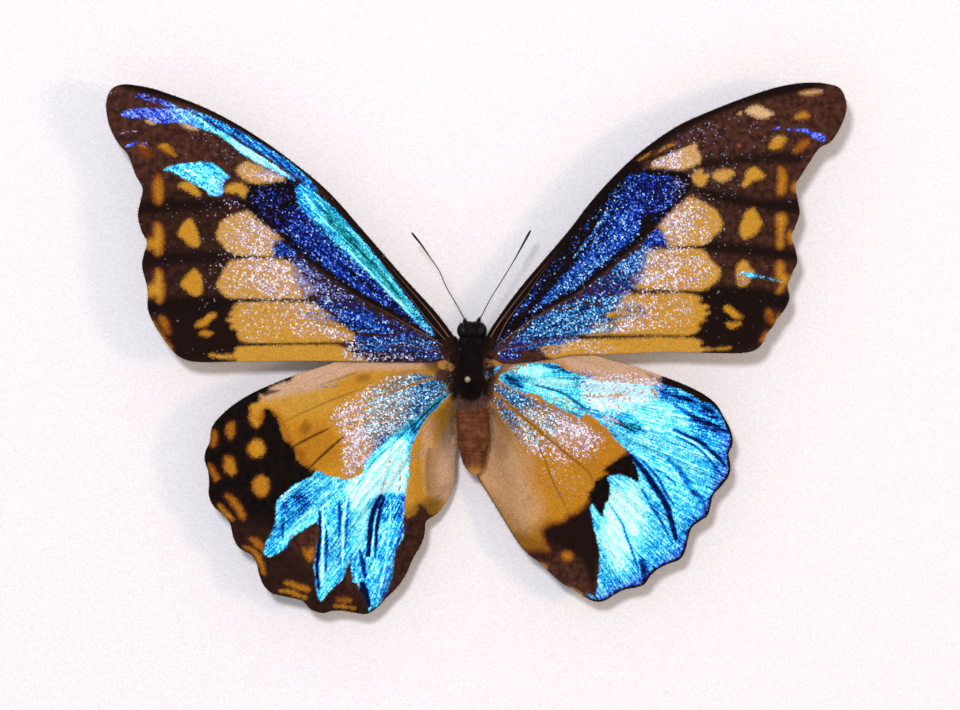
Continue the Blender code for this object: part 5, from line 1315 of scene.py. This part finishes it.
def streaks(material, fan, width, length):
    """Noise drawn out along the lines that run from a wing's hinge."""
    drawn = add(material, "VectorMath.MULTIPLY", fan, (1.0 / width, 1.0 / length, 0.0))
    return add(material, "TexNoise", noise_dimensions="2D", Vector=drawn, Scale=1.0, Detail=2.0)


def wing_scales():
    """Wing scales: pigmented ones are matt and grainy, and blue ones have a painted satin sheen, with painted
    highlights along their ridges and painted shade in their creases.
    """
    made, shader, place = new_material("wing_scales_upper")
    names = FIELDS + ("gold", "blue", "vein", "bare")
    field = {name: add(made, "Attribute", attribute_name=name) for name in names}
    fan = add(made, "Attribute", attribute_name="fan").node.outputs["Vector"]

    # Real scales are 0.1 mm wide. They are drawn at 0.14 to 0.22 mm, so that they show.
    fine = add(made, "TexVoronoi", voronoi_dimensions="2D", Vector=place, Scale=1.0 / (0.14 * MM))
    coarse = add(made, "TexVoronoi", voronoi_dimensions="2D", Vector=place, Scale=1.0 / (0.22 * MM))
    fine_chance = add(made, "SeparateColor", fine.node.outputs["Color"]).node.outputs
    chance = add(made, "SeparateColor", coarse.node.outputs["Color"]).node.outputs
    cloud = add(made, "TexNoise", noise_dimensions="2D", Vector=place, Scale=1.0 / (1.1 * MM), Detail=3.0)
    cloud_off = add(made, "Math.SUBTRACT", cloud, 0.5)

    # Marks end at whole scales, so their edges are ragged by a scale or so.
    fine_off = add(made, "Math.SUBTRACT", fine_chance[0], 0.5)
    ragged = add(made, "Math.MULTIPLY_ADD", fine_off, 0.4, add(made, "Math.MULTIPLY", cloud_off, 0.6))
    low = add(made, "Math.MULTIPLY_ADD", field["rust"], -0.3, -0.24)
    high = add(made, "Math.MULTIPLY_ADD", field["rust"], 0.34, 0.34)
    gold_share = add(made, "MapRange", add(made, "Math.ADD", field["gold"], ragged), low, high)
    blue_edge = add(made, "Math.ADD", field["blue"], add(made, "Math.MULTIPLY", ragged, 0.7))
    blue_kept = add(made, "Math.GREATER_THAN", chance[0], field["thin"])
    blue_share = add(made, "Math.MULTIPLY", add(made, "MapRange", blue_edge, -0.1, 0.1), blue_kept)

    ground = add(made, "Mix", field["dusk"], "523024", "0c0908")
    ground = add(made, "Mix", add(made, "MapRange", cloud, 0.35, 0.65, 0.0, 0.7), ground, "1e100c")
    rusty = add(made, "Math.MULTIPLY", field["rust"], add(made, "MapRange", field["gold"], -0.8, 0.1))
    ground = add(made, "Mix", rusty, ground, "6c3012")
    gold = add(made, "ValToRGB", field["tone"], stops=(
        (0.0, "54240c"), (0.2, "8c4a14"), (0.35, "ac6818"), (0.5, "c68a24"),
        (0.62, "c89438"), (0.75, "cc9c58"), (1.0, "deb88a"),
    ))
    gold = add(made, "Mix", field["pale"], gold, "cda684")
    gold = add(made, "Mix", add(made, "MapRange", cloud, 0.3, 0.75, 0.0, 0.14), gold, "8a5218")
    colour = add(made, "Mix", gold_share, ground, gold)
    # The shade field darkens towards near black: dark veins and marks, and painted shade in the folds beside
    # the body, round the hinges and under the forewings.
    colour = add(made, "Mix", add(made, "Math.MULTIPLY", field["shade"], 0.92), colour, "1c0f0b")

    # Loose blue and white scales lie over the pigment in rows, with finer ones between where they are dense.
    # Each spark gets a random brightness, and the palest, near white, are painted glints.
    rows = add(made, "MapRange", streaks(made, fan, 0.8, 8.0), 0.38, 0.62, 0.6, 1.3)
    loose = add(made, "Math.LESS_THAN", chance[0], add(made, "Math.MULTIPLY", field["glitter"], rows))
    shown = add(made, "Math.MULTIPLY", loose, add(made, "MapRange", chance[2], 0.0, 0.6, 0.4, 1.0))
    sparse = add(made, "MapRange", field["glitter"], 0.0, 0.36, 0.16, 1.0)
    shown = add(made, "Math.MULTIPLY", shown, sparse)
    dense = add(made, "MapRange", field["glitter"], 0.3, 0.8)
    navy = add(made, "Math.MULTIPLY", dense, add(made, "Math.SUBTRACT", 1.0, field["pink"]))
    colour = add(made, "Mix", add(made, "Math.MULTIPLY", navy, 0.92), colour, "04144c")
    blue_to_violet = add(made, "MapRange", field["hue"], 0.0, 1.0)
    blue_to_teal = add(made, "MapRange", field["hue"], 0.0, -1.0)
    sparks = {name: add(made, "ValToRGB", chance[1], stops=stops) for name, stops in (
        ("blue", (
            (0, "030f48"), (0.35, "0b2a88"), (0.62, "1e5ad0"),
            (0.82, "4488ee"), (0.92, "88c4ff"), (1, "dcf2ff"),
        )),
        ("violet", ((0, "050d4a"), (0.4, "16269a"), (0.7, "2c44d8"), (0.9, "5c80fc"), (1, "a4c8ff"))),
        ("teal", ((0, "042448"), (0.35, "125c94"), (0.62, "38a0dc"), (0.85, "98e6ff"), (1, "e8ffff"))),
        ("pink", ((0, "7c6c86"), (0.3, "b4a0b4"), (0.6, "e8dce6"), (1, "ffffff"))),
        ("mint", ((0, "1c5478"), (0.3, "5ca4c4"), (0.6, "bce6f2"), (0.85, "ffffff"), (1, "ffffff"))),
    )}
    pale_spark = add(made, "Mix", blue_to_teal, sparks["pink"], sparks["mint"])
    spark = add(made, "Mix", blue_to_violet, sparks["blue"], sparks["violet"])
    spark = add(made, "Mix", blue_to_teal, spark, sparks["teal"])
    spark = add(made, "Mix", field["pink"], spark, pale_spark)
    colour = add(made, "Mix", shown, colour, spark)

    # Painted sheen: rows of blue scales are painted from navy to white-cyan in fine streaks that run out from
    # the hinge, as if they caught the light, with painted highlights where shine is high.
    streak = streaks(made, fan, 0.2, 4.5)
    shine = field["shine"]
    level = shine
    for noise, low, high, swing in (
        (streak, 0.32, 0.68, add(made, "MapRange", shine, 0.3, 0.95, 0.5, 0.16)),
        (streaks(made, fan, 0.8, 11.0), 0.35, 0.65, 0.12),
        (streaks(made, fan, 0.4, 1.6), 0.36, 0.64, add(made, "MapRange", shine, 0.35, 0.95, 0.24, 0.06)),
        (chance[1], 0.0, 1.0, add(made, "MapRange", shine, 0.4, 0.95, 0.56, 0.2)),
    ):
        wave = add(made, "MapRange", noise, low, high, -0.5, 0.5)
        level = add(made, "Math.MULTIPLY_ADD", wave, swing, level)
    level = add(made, "Math.MULTIPLY_ADD", cloud_off, 0.25, level)
    # Painted shade: the blue is darker along its creases.
    level = add(made, "Math.SUBTRACT", level, add(made, "Math.MULTIPLY", field["crease"], 0.62))
    satin = add(made, "ValToRGB", level, stops=(
        (0.0, "020a28"), (0.12, "041e60"), (0.25, "083e98"), (0.37, "0b5cb8"), (0.47, "0f7eca"),
        (0.57, "1c9edc"), (0.66, "38bee2"), (0.75, "5cd8e8"), (0.84, "80e8ec"), (0.92, "a4f0ee"),
        (1.0, "ccf4f3"),
    ))
    violet = add(made, "ValToRGB", level, stops=(
        (0.0, "0a0a38"), (0.25, "2032a8"), (0.55, "5466e2"), (1.0, "a0b4fa"),
    ))
    teal = add(made, "ValToRGB", level, stops=(
        (0.0, "032024"), (0.35, "0c6670"), (0.65, "26a2a8"), (0.85, "5cd8dc"), (1.0, "9cf0f0"),
    ))
    satin = add(made, "Mix", blue_to_violet, satin, violet)
    satin = add(made, "Mix", blue_to_teal, satin, teal)
    colour = add(made, "Mix", blue_share, colour, satin)

    # The veins are bare and brown near the hinge, and scaled over further out.
    bare = add(made, "Mix", field["bare"], "1c0e0a", "8a6450")
    marked = add(made, "Math.MAXIMUM", gold_share, blue_share)
    seen = add(made, "Math.MULTIPLY", field["vein"], add(made, "Math.MULTIPLY_ADD", marked, -0.6, 1.0))
    worn = add(made, "MapRange", field["bare"], 0.0, 1.0, 0.45, 0.85)
    colour = add(made, "Mix", add(made, "Math.MULTIPLY", seen, worn), colour, bare)
    grain = add(made, "MapRange", fine_chance[2], 0.0, 1.0, 0.76, 1.18)
    gleam = add(made, "Math.MAXIMUM", blue_share, add(made, "Math.MULTIPLY", shown, 0.5))
    relief = add(made, "Math.MULTIPLY_ADD", streak, blue_share, add(made, "Math.MULTIPLY", fine, 0.5))
    fill(shader, {
        "Base Color": add(made, "VectorMath.SCALE", colour, Scale=grain),
        "Metallic": add(made, "Math.MULTIPLY", gleam, 0.3),
        "Roughness": add(made, "MapRange", gleam, 0.0, 1.0, 0.75, 0.4),
        "Normal": add(made, "Bump", Strength=0.3, Distance=0.1 * MM, Height=relief),
        "Specular IOR Level": 0.03,
    })
    return made


def wing_underside():
    """Underside scales: duller brown and cream ones, all pigment, which give a matt, dusty face."""
    made, shader, place = new_material("wing_scales_underside")
    gold = add(made, "Attribute", attribute_name="gold")
    scales = add(made, "TexVoronoi", voronoi_dimensions="2D", Vector=place, Scale=1.0 / (0.2 * MM))
    cloud = add(made, "TexNoise", Vector=place, Scale=1.0 / (3.5 * MM), Detail=4.0)
    brown = add(made, "Mix", cloud, "5d4030", "33221a")
    colour = add(made, "Mix", add(made, "MapRange", gold, -0.6, 0.5), brown, "b89a72")
    grain = add(made, "MapRange", scales, 0.0, 0.8, 1.08, 0.86)
    fill(shader, {
        "Base Color": add(made, "VectorMath.SCALE", colour, Scale=grain),
        "Roughness": 0.75,
        "Normal": add(made, "Bump", Strength=0.3, Distance=0.1 * MM, Height=scales),
        "Specular IOR Level": 0.2,
    })
    return made


def cuticle(name, dark, light, rough, pattern_mm, tip=None):
    """Insect cuticle: hard, dark and slightly glossy, with fine pits that break up its highlights."""
    made, shader, place = new_material(name)
    cloud = add(made, "TexNoise", Vector=place, Scale=1.0 / (pattern_mm * MM), Detail=5.0)
    pits = add(made, "TexVoronoi", Vector=place, Scale=1.0 / (0.14 * MM))
    colour = add(made, "Mix", add(made, "MapRange", cloud, 0.35, 0.68), dark, light)
    if tip:
        # The last plates are paler.
        along = add(made, "SeparateXYZ", place).node.outputs["Y"]
        colour = add(made, "Mix", add(made, "MapRange", along, -13.4 * MM, -15.3 * MM), colour, tip)
    fill(shader, {
        "Base Color": colour,
        "Roughness": add(made, "MapRange", cloud, 0.3, 0.7, rough - 0.1, rough + 0.15),
        "Normal": add(made, "Bump", Strength=0.45, Distance=0.08 * MM, Height=pits),
        "Specular IOR Level": 0.16,
    })
    return made


def hair_finish(name, dark, light):
    """Hair-like scales: matt along their sides, each one a little lighter or darker than the next."""
    made, shader, place = new_material(name)
    tint = add(made, "Attribute", attribute_name="tint")
    mottle = add(made, "TexNoise", Vector=place, Scale=1.0 / (0.4 * MM), Detail=2.0)
    share = add(made, "Math.MULTIPLY_ADD", mottle, 0.4, tint)
    fill(shader, {
        "Base Color": add(made, "ValToRGB", share, stops=((0.1, dark), (1.1, light))),
        "Roughness": 0.65,
        "Specular IOR Level": 0.06,
    })
    return made


def metal(name, dark, light, rough, grain_mm):
    """Drawn metal wire: fine lines along the wire and slight stains soften its reflections."""
    made, shader, place = new_material(name)
    drawn = add(made, "Mapping", Vector=place, Scale=(1.0, 1.0, 0.04))
    lines = add(made, "TexNoise", Vector=drawn, Scale=1.0 / (grain_mm * MM), Detail=3.0)
    stain = add(made, "TexNoise", Vector=place, Scale=1.0 / (0.6 * MM), Detail=4.0)
    fill(shader, {
        "Base Color": add(made, "Mix", stain, dark, light),
        "Metallic": 1.0,
        "Roughness": add(made, "MapRange", lines, 0.3, 0.7, rough - 0.08, rough + 0.14),
        "Normal": add(made, "Bump", Strength=0.2, Distance=0.02 * MM, Height=lines),
    })
    return made


def board_paper():
    """Matt board paper: pale fibres and flecks, which keep its white from looking flat."""
    made, shader, place = new_material("board_matt_paper")
    fibres = add(made, "TexNoise", Vector=place, Scale=1.0 / (0.5 * MM), Detail=4.0)
    flecks = add(made, "TexVoronoi", Vector=place, Scale=1.0 / (0.2 * MM)).node.outputs["Color"]
    share = add(made, "Math.MULTIPLY_ADD", add(made, "SeparateColor", flecks), 0.9, fibres)
    share = add(made, "MapRange", share, 0.3, 1.3)
    fill(shader, {
        "Base Color": add(made, "Mix", share, "ece6e4", "fbf7f4"),
        "Roughness": 0.9,
        "Normal": add(made, "Bump", Strength=0.1, Distance=0.1 * MM, Height=share),
    })
    return made


def ellipse(x, y, reach_x, reach_y):
    """A density of hair that falls off softly from the middle of an ellipse to its rim."""
    def density(places):
        share = ((places[:, 0] - x) / reach_x) ** 2 + ((places[:, 1] - y) / reach_y) ** 2
        return np.clip(1.5 - 1.5 * share, 0.0, 1.0)
    return density


def above(height):
    """A density of hair that is even above a height, and nothing below it."""
    return lambda places: places[:, 2] > height


def make_wings():
    upper = wing_scales()
    under = wing_underside()
    brown_scale = hair_finish("margin_scales", "1c100c", "4c3024")
    made = {}
    for number, (name, wing) in enumerate(WINGS.items()):
        side = -1 if name.startswith("left") else 1
        fore = name.endswith("forewing")
        height = forewing_height if fore else hindwing_height
        hinge = (BODY_X + 1.5 * side, FORE_FAN_Y if fore else HIND_FAN_Y)
        slot = "forewing_scales" if fore else "hindwing_scales"
        made[name] = make_wing(name, wing, height, hinge, [upper, under], slot)
        make_veins(name + "_veins", wing, height, hinge, upper, slot)
        edge_scales(name + "_margin", wing["outline"], height, 40 + number, brown_scale, slot)
    return made


def make_trunk(black, brown, skull, hair):
    """Thorax, abdomen and head, with their hair."""
    pieces = {}
    for name, label, rings, around, form, finish, slot in (
        ("thorax", "thorax_plates", 96, 96, thorax_form, black, "thorax_cuticle"),
        ("abdomen", "abdomen_plates", 144, 80, abdomen_form, brown, "abdomen_cuticle"),
        ("head", "head_capsule", 64, 64, head_form, skull, "head_cuticle"),
        ("neck", "neck", 24, 24, lump((0.6, 6.0, 6.7), (2.1, 1.7, 1.35)), black, "thorax_cuticle"),
        ("waist", "waist", 32, 32, lump((0.6, -3.8, 6.9), (2.3, 1.2, 1.5)), brown, "abdomen_cuticle"),
    ):
        nodes = [name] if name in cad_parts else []
        pieces[name] = new_piece(label, body_of_rings(name, rings, around, form), [finish], nodes, slot)

    def breast(places):
        return places[:, 2] <= 7.0

    def face(places):
        return places[:, 1] < 9.0

    def plates(places):
        return (places[:, 1] < -4.8) & (places[:, 1] > -14.4)

    for name, carrier, count, density, seed, lean, lengths, width, lift, finish in (
        ("thorax_hair", "thorax", 5000, above(7.6), 11, (0.0, -0.8, 0.1), (0.3, 0.75), 0.045, 0.6, "black"),
        ("breast_hair", "thorax", 1800, breast, 12, (0.0, -0.8, -0.5), (0.6, 1.2), 0.035, 0.8, "mauve"),
        ("head_hair", "head", 1500, face, 13, (0.0, 0.5, 0.6), (0.3, 0.6), 0.03, 0.9, "black"),
        ("neck_hair", "neck", 500, above(6.6), 10, (0.0, -0.6, 0.4), (0.4, 0.8), 0.035, 0.9, "black"),
        ("abdomen_down", "abdomen", 3600, plates, 14, (0.04, -1.0, 0.0), (0.28, 0.55), 0.03, 0.18, "brown"),
        ("waist_hair", "waist", 1500, above(6.6), 15, (0.0, -0.5, 0.3), (0.4, 0.9), 0.035, 0.8, "mauve"),
    ):
        slot = {"neck": "thorax", "waist": "abdomen"}.get(carrier, carrier) + "_cuticle"
        hairs(name, pieces[carrier], count, density, seed, lean, lengths, width, lift, hair[finish], slot)


# For each side: the lump of the hinge, and the ellipses where hair grows round it.
HINGES = {
    "left": {
        "bulge": ((-2.1, 2.0, 6.5), (0.85, 5.0, 1.3)),
        "wing_tuft": (-3.5, 2.2, 1.2, 0.8), "root_fuzz": (-3.5, 0.6, 1.7, 1.5),
        "hinge_tuft": (-2.5, 1.9, 0.6, 0.7), "root_glint": (-2.6, 0.4, 0.5, 1.2),
        "inner_fringe": (-2.3, -7.0, 1.1, 4.4), "shoulder_hair": (-2.9, 5.6, 1.1, 1.2),
    },
    "right": {
        "bulge": ((2.95, 2.2, 6.5), (0.8, 4.9, 1.3)),
        "wing_tuft": (3.9, 2.7, 1.5, 0.7), "root_fuzz": (3.2, -1.6, 0.8, 2.0),
        "hinge_tuft": (2.9, 2.5, 0.8, 0.9), "root_glint": (2.9, 1.0, 0.5, 0.7),
        "inner_fringe": (3.7, -7.0, 0.9, 3.6), "shoulder_hair": (3.6, 5.6, 1.0, 1.2),
        "root_blue": (3.3, 0.5, 0.6, 0.6),
    },
}


def make_palp(name, side, palp, hair):
    """A jointed, hairy feeler beside the mouth."""
    reach = 0.9 if side < 0 else 1.2
    base_x = HEAD_CENTRE[0] + side * 0.75
    route = (
        (base_x, 8.75, 6.2, 0.34),
        (base_x + side * 0.3, 8.95 + 0.25 * reach, 6.6, 0.32),
        (base_x + side * 0.42 * reach, 9.0 + 0.75 * reach, 7.1, 0.2),
    )
    mesh = tube_mesh(name, [ringed(route, 3, 0.2)], 4)
    sheath = new_piece(name + "_joints", mesh, [palp], [name], "head_cuticle")
    lean = (0.3 * side, 0.6, 0.6)
    hairs(
        name + "_hair", sheath, 260, above(0.0), 16 + side, lean, (0.15, 0.32), 0.025, 0.5,
        hair, "head_cuticle",
    )


def make_hinge(side, name, wings, black, hair):
    """The wing muscles and hinge plates bulge out between the thorax and the wings, under hair."""
    spots = HINGES[name]
    mesh = body_of_rings(name + "_hinge", 48, 24, lump(*spots["bulge"]))
    hinge = new_piece(name + "_hinge_plates", mesh, [black], [], "thorax_cuticle")
    hairs(
        name + "_hinge_hair", hinge, 1500, above(6.4), 18 + side, (0.3 * side, -0.8, 0.3), (0.5, 1.2),
        0.04, 0.9, hair["umber"], "thorax_cuticle",
    )
    hind, fore = wings[name + "_hindwing"], wings[name + "_forewing"]
    for spot, carrier, count, seed, lean, lengths, width, lift, finish in (
        ("wing_tuft", hind, 620, 21 + side, (0.7 * side, 0.25, 0.4), (0.4, 0.9), 0.045, 0.5, "gold"),
        ("root_fuzz", hind, 560, 24 + side, (0.5 * side, -0.5, 0.4), (0.3, 0.7), 0.04, 0.3, "russet"),
        ("hinge_tuft", hinge, 260, 36 + side, (0.7 * side, 0.1, 0.4), (0.4, 0.8), 0.045, 0.5, "gold"),
        # The root_glint hairs are white, and stand as painted glints at the hinge.
        ("root_glint", hinge, 34, 33 + side, (0.5 * side, -0.6, 0.5), (0.4, 0.7), 0.05, 0.5, "white"),
        ("inner_fringe", hind, 150, 27 + side, (0.15 * side, -1.0, 0.1), (0.6, 1.4), 0.03, 0.15, "grey"),
        ("shoulder_hair", fore, 300, 30 + side, (0.7 * side, 0.3, 0.3), (0.5, 1.0), 0.04, 0.5, "umber"),
        ("root_blue", hinge, 130, 39, (0.6, 0.3, 0.2), (0.22, 0.4), 0.13, 0.2, "blue"),
    ):
        if spot in spots:
            slot = "forewing_scales" if carrier == fore else "hindwing_scales"
            spread = ellipse(*spots[spot])
            label = name + "_" + spot
            hairs(label, carrier, count, spread, seed, lean, lengths, width, lift, hair[finish], slot)


def make_body(wings):
    black = cuticle("thorax_black_cuticle", "060505", "12100e", 0.55, 1.2)
    brown = cuticle("abdomen_brown_cuticle", "542814", "864c2c", 0.55, 1.2, "bc8434")
    skull = cuticle("head_black_cuticle", "060505", "100d0b", 0.5, 0.8)
    facets = cuticle("eye_dark_cuticle", "070605", "14100c", 0.3, 0.5)
    palp = cuticle("palp_dark_cuticle", "0a0807", "1c1611", 0.6, 0.5)
    feeler = cuticle("antenna_black_cuticle", "0c0908", "241a15", 0.45, 0.5)
    limb = cuticle("leg_brown_cuticle", "26160d", "4c301e", 0.45, 0.8)
    hair = {name: hair_finish(label + "_scales", dark, light) for name, label, dark, light in (
        ("black", "black_hair", "050404", "2c221c"),
        ("umber", "umber_hair", "0e0907", "4e352a"),
        ("brown", "brown_hair", "442010", "8e5a30"),
        ("mauve", "mauve_brown_hair", "382420", "98786e"),
        ("grey", "grey_brown_hair", "503c38", "a48e86"),
        ("gold", "gold_brown_hair", "a06020", "ffc474"),
        ("white", "white_hair", "a09aa0", "f4f0f2"),
        ("russet", "russet_hair", "2c1610", "94604a"),
        ("blue", "blue_root", "0a2c68", "62c0f0"),
    )}
    make_trunk(black, brown, skull, hair)
    for side, name in ((-1, "left"), (1, "right")):
        make_eye(name + "_eye", side, facets)
        make_palp(name + "_palp", side, palp, hair["black"])
        make_antenna(name + "_antenna", ANTENNAE[name], feeler)
        for kind, route in LEGS.items():
            make_leg(name + "_" + kind, route, side, limb, hair["black"])
        make_hinge(side, name, wings, black, hair)
    make_proboscis(palp)

    for name, finish in (
        ("pin_shaft", metal("pin_black_steel", "2c2c2e", "4a4a4c", 0.35, 0.03)),
        ("pin_head", metal("pin_head_brass", "8a8468", "b5ad88", 0.35, 0.05)),
    ):
        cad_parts[name].data.materials.clear()
        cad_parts[name].data.materials.append(finish)


def make_stage():
    """The pale board, two soft lights and the camera above the specimen."""
    scene = bpy.context.scene
    bm = bmesh.new()
    bmesh.ops.create_grid(bm, x_segments=2, y_segments=2, size=BOARD_HALF)
    board = bpy.data.objects.new("pale_board", mesh_of(bm, "pale_board", smooth=False))
    scene.collection.objects.link(board)
    board.data.materials.append(board_paper())

    world = bpy.data.worlds.new("soft_room")
    world.use_nodes = True
    fill(world.node_tree.nodes["Background"], {"Color": ROOM_COLOUR, "Strength": ROOM_LIGHT})
    scene.world = world

    for name, place, size, power, colour in LAMPS:
        lamp = bpy.data.lights.new(name, "AREA")
        lamp.shape = "DISK"
        lamp.size = size
        lamp.energy = power
        lamp.color = linear(colour)[:3]
        holder = bpy.data.objects.new(name, lamp)
        scene.collection.objects.link(holder)
        holder.location = place
        holder.rotation_euler = (-Vector(place)).to_track_quat("-Z", "Y").to_euler()
        holder.visible_camera = False

    lens = bpy.data.cameras.new("camera")
    lens.sensor_width = SENSOR_WIDTH
    lens.lens = SENSOR_WIDTH * VIEW_DISTANCE / (VIEW_WIDTH * MM)
    lens.clip_start, lens.clip_end = 0.01, 10.0
    camera = bpy.data.objects.new("camera", lens)
    scene.collection.objects.link(camera)
    camera.location = Vector(VIEW_CENTRE) * MM + Vector((0.0, 0.0, VIEW_DISTANCE))
    scene.camera = camera
    scene.view_settings.view_transform = "Standard"


make_body(make_wings())
make_stage()
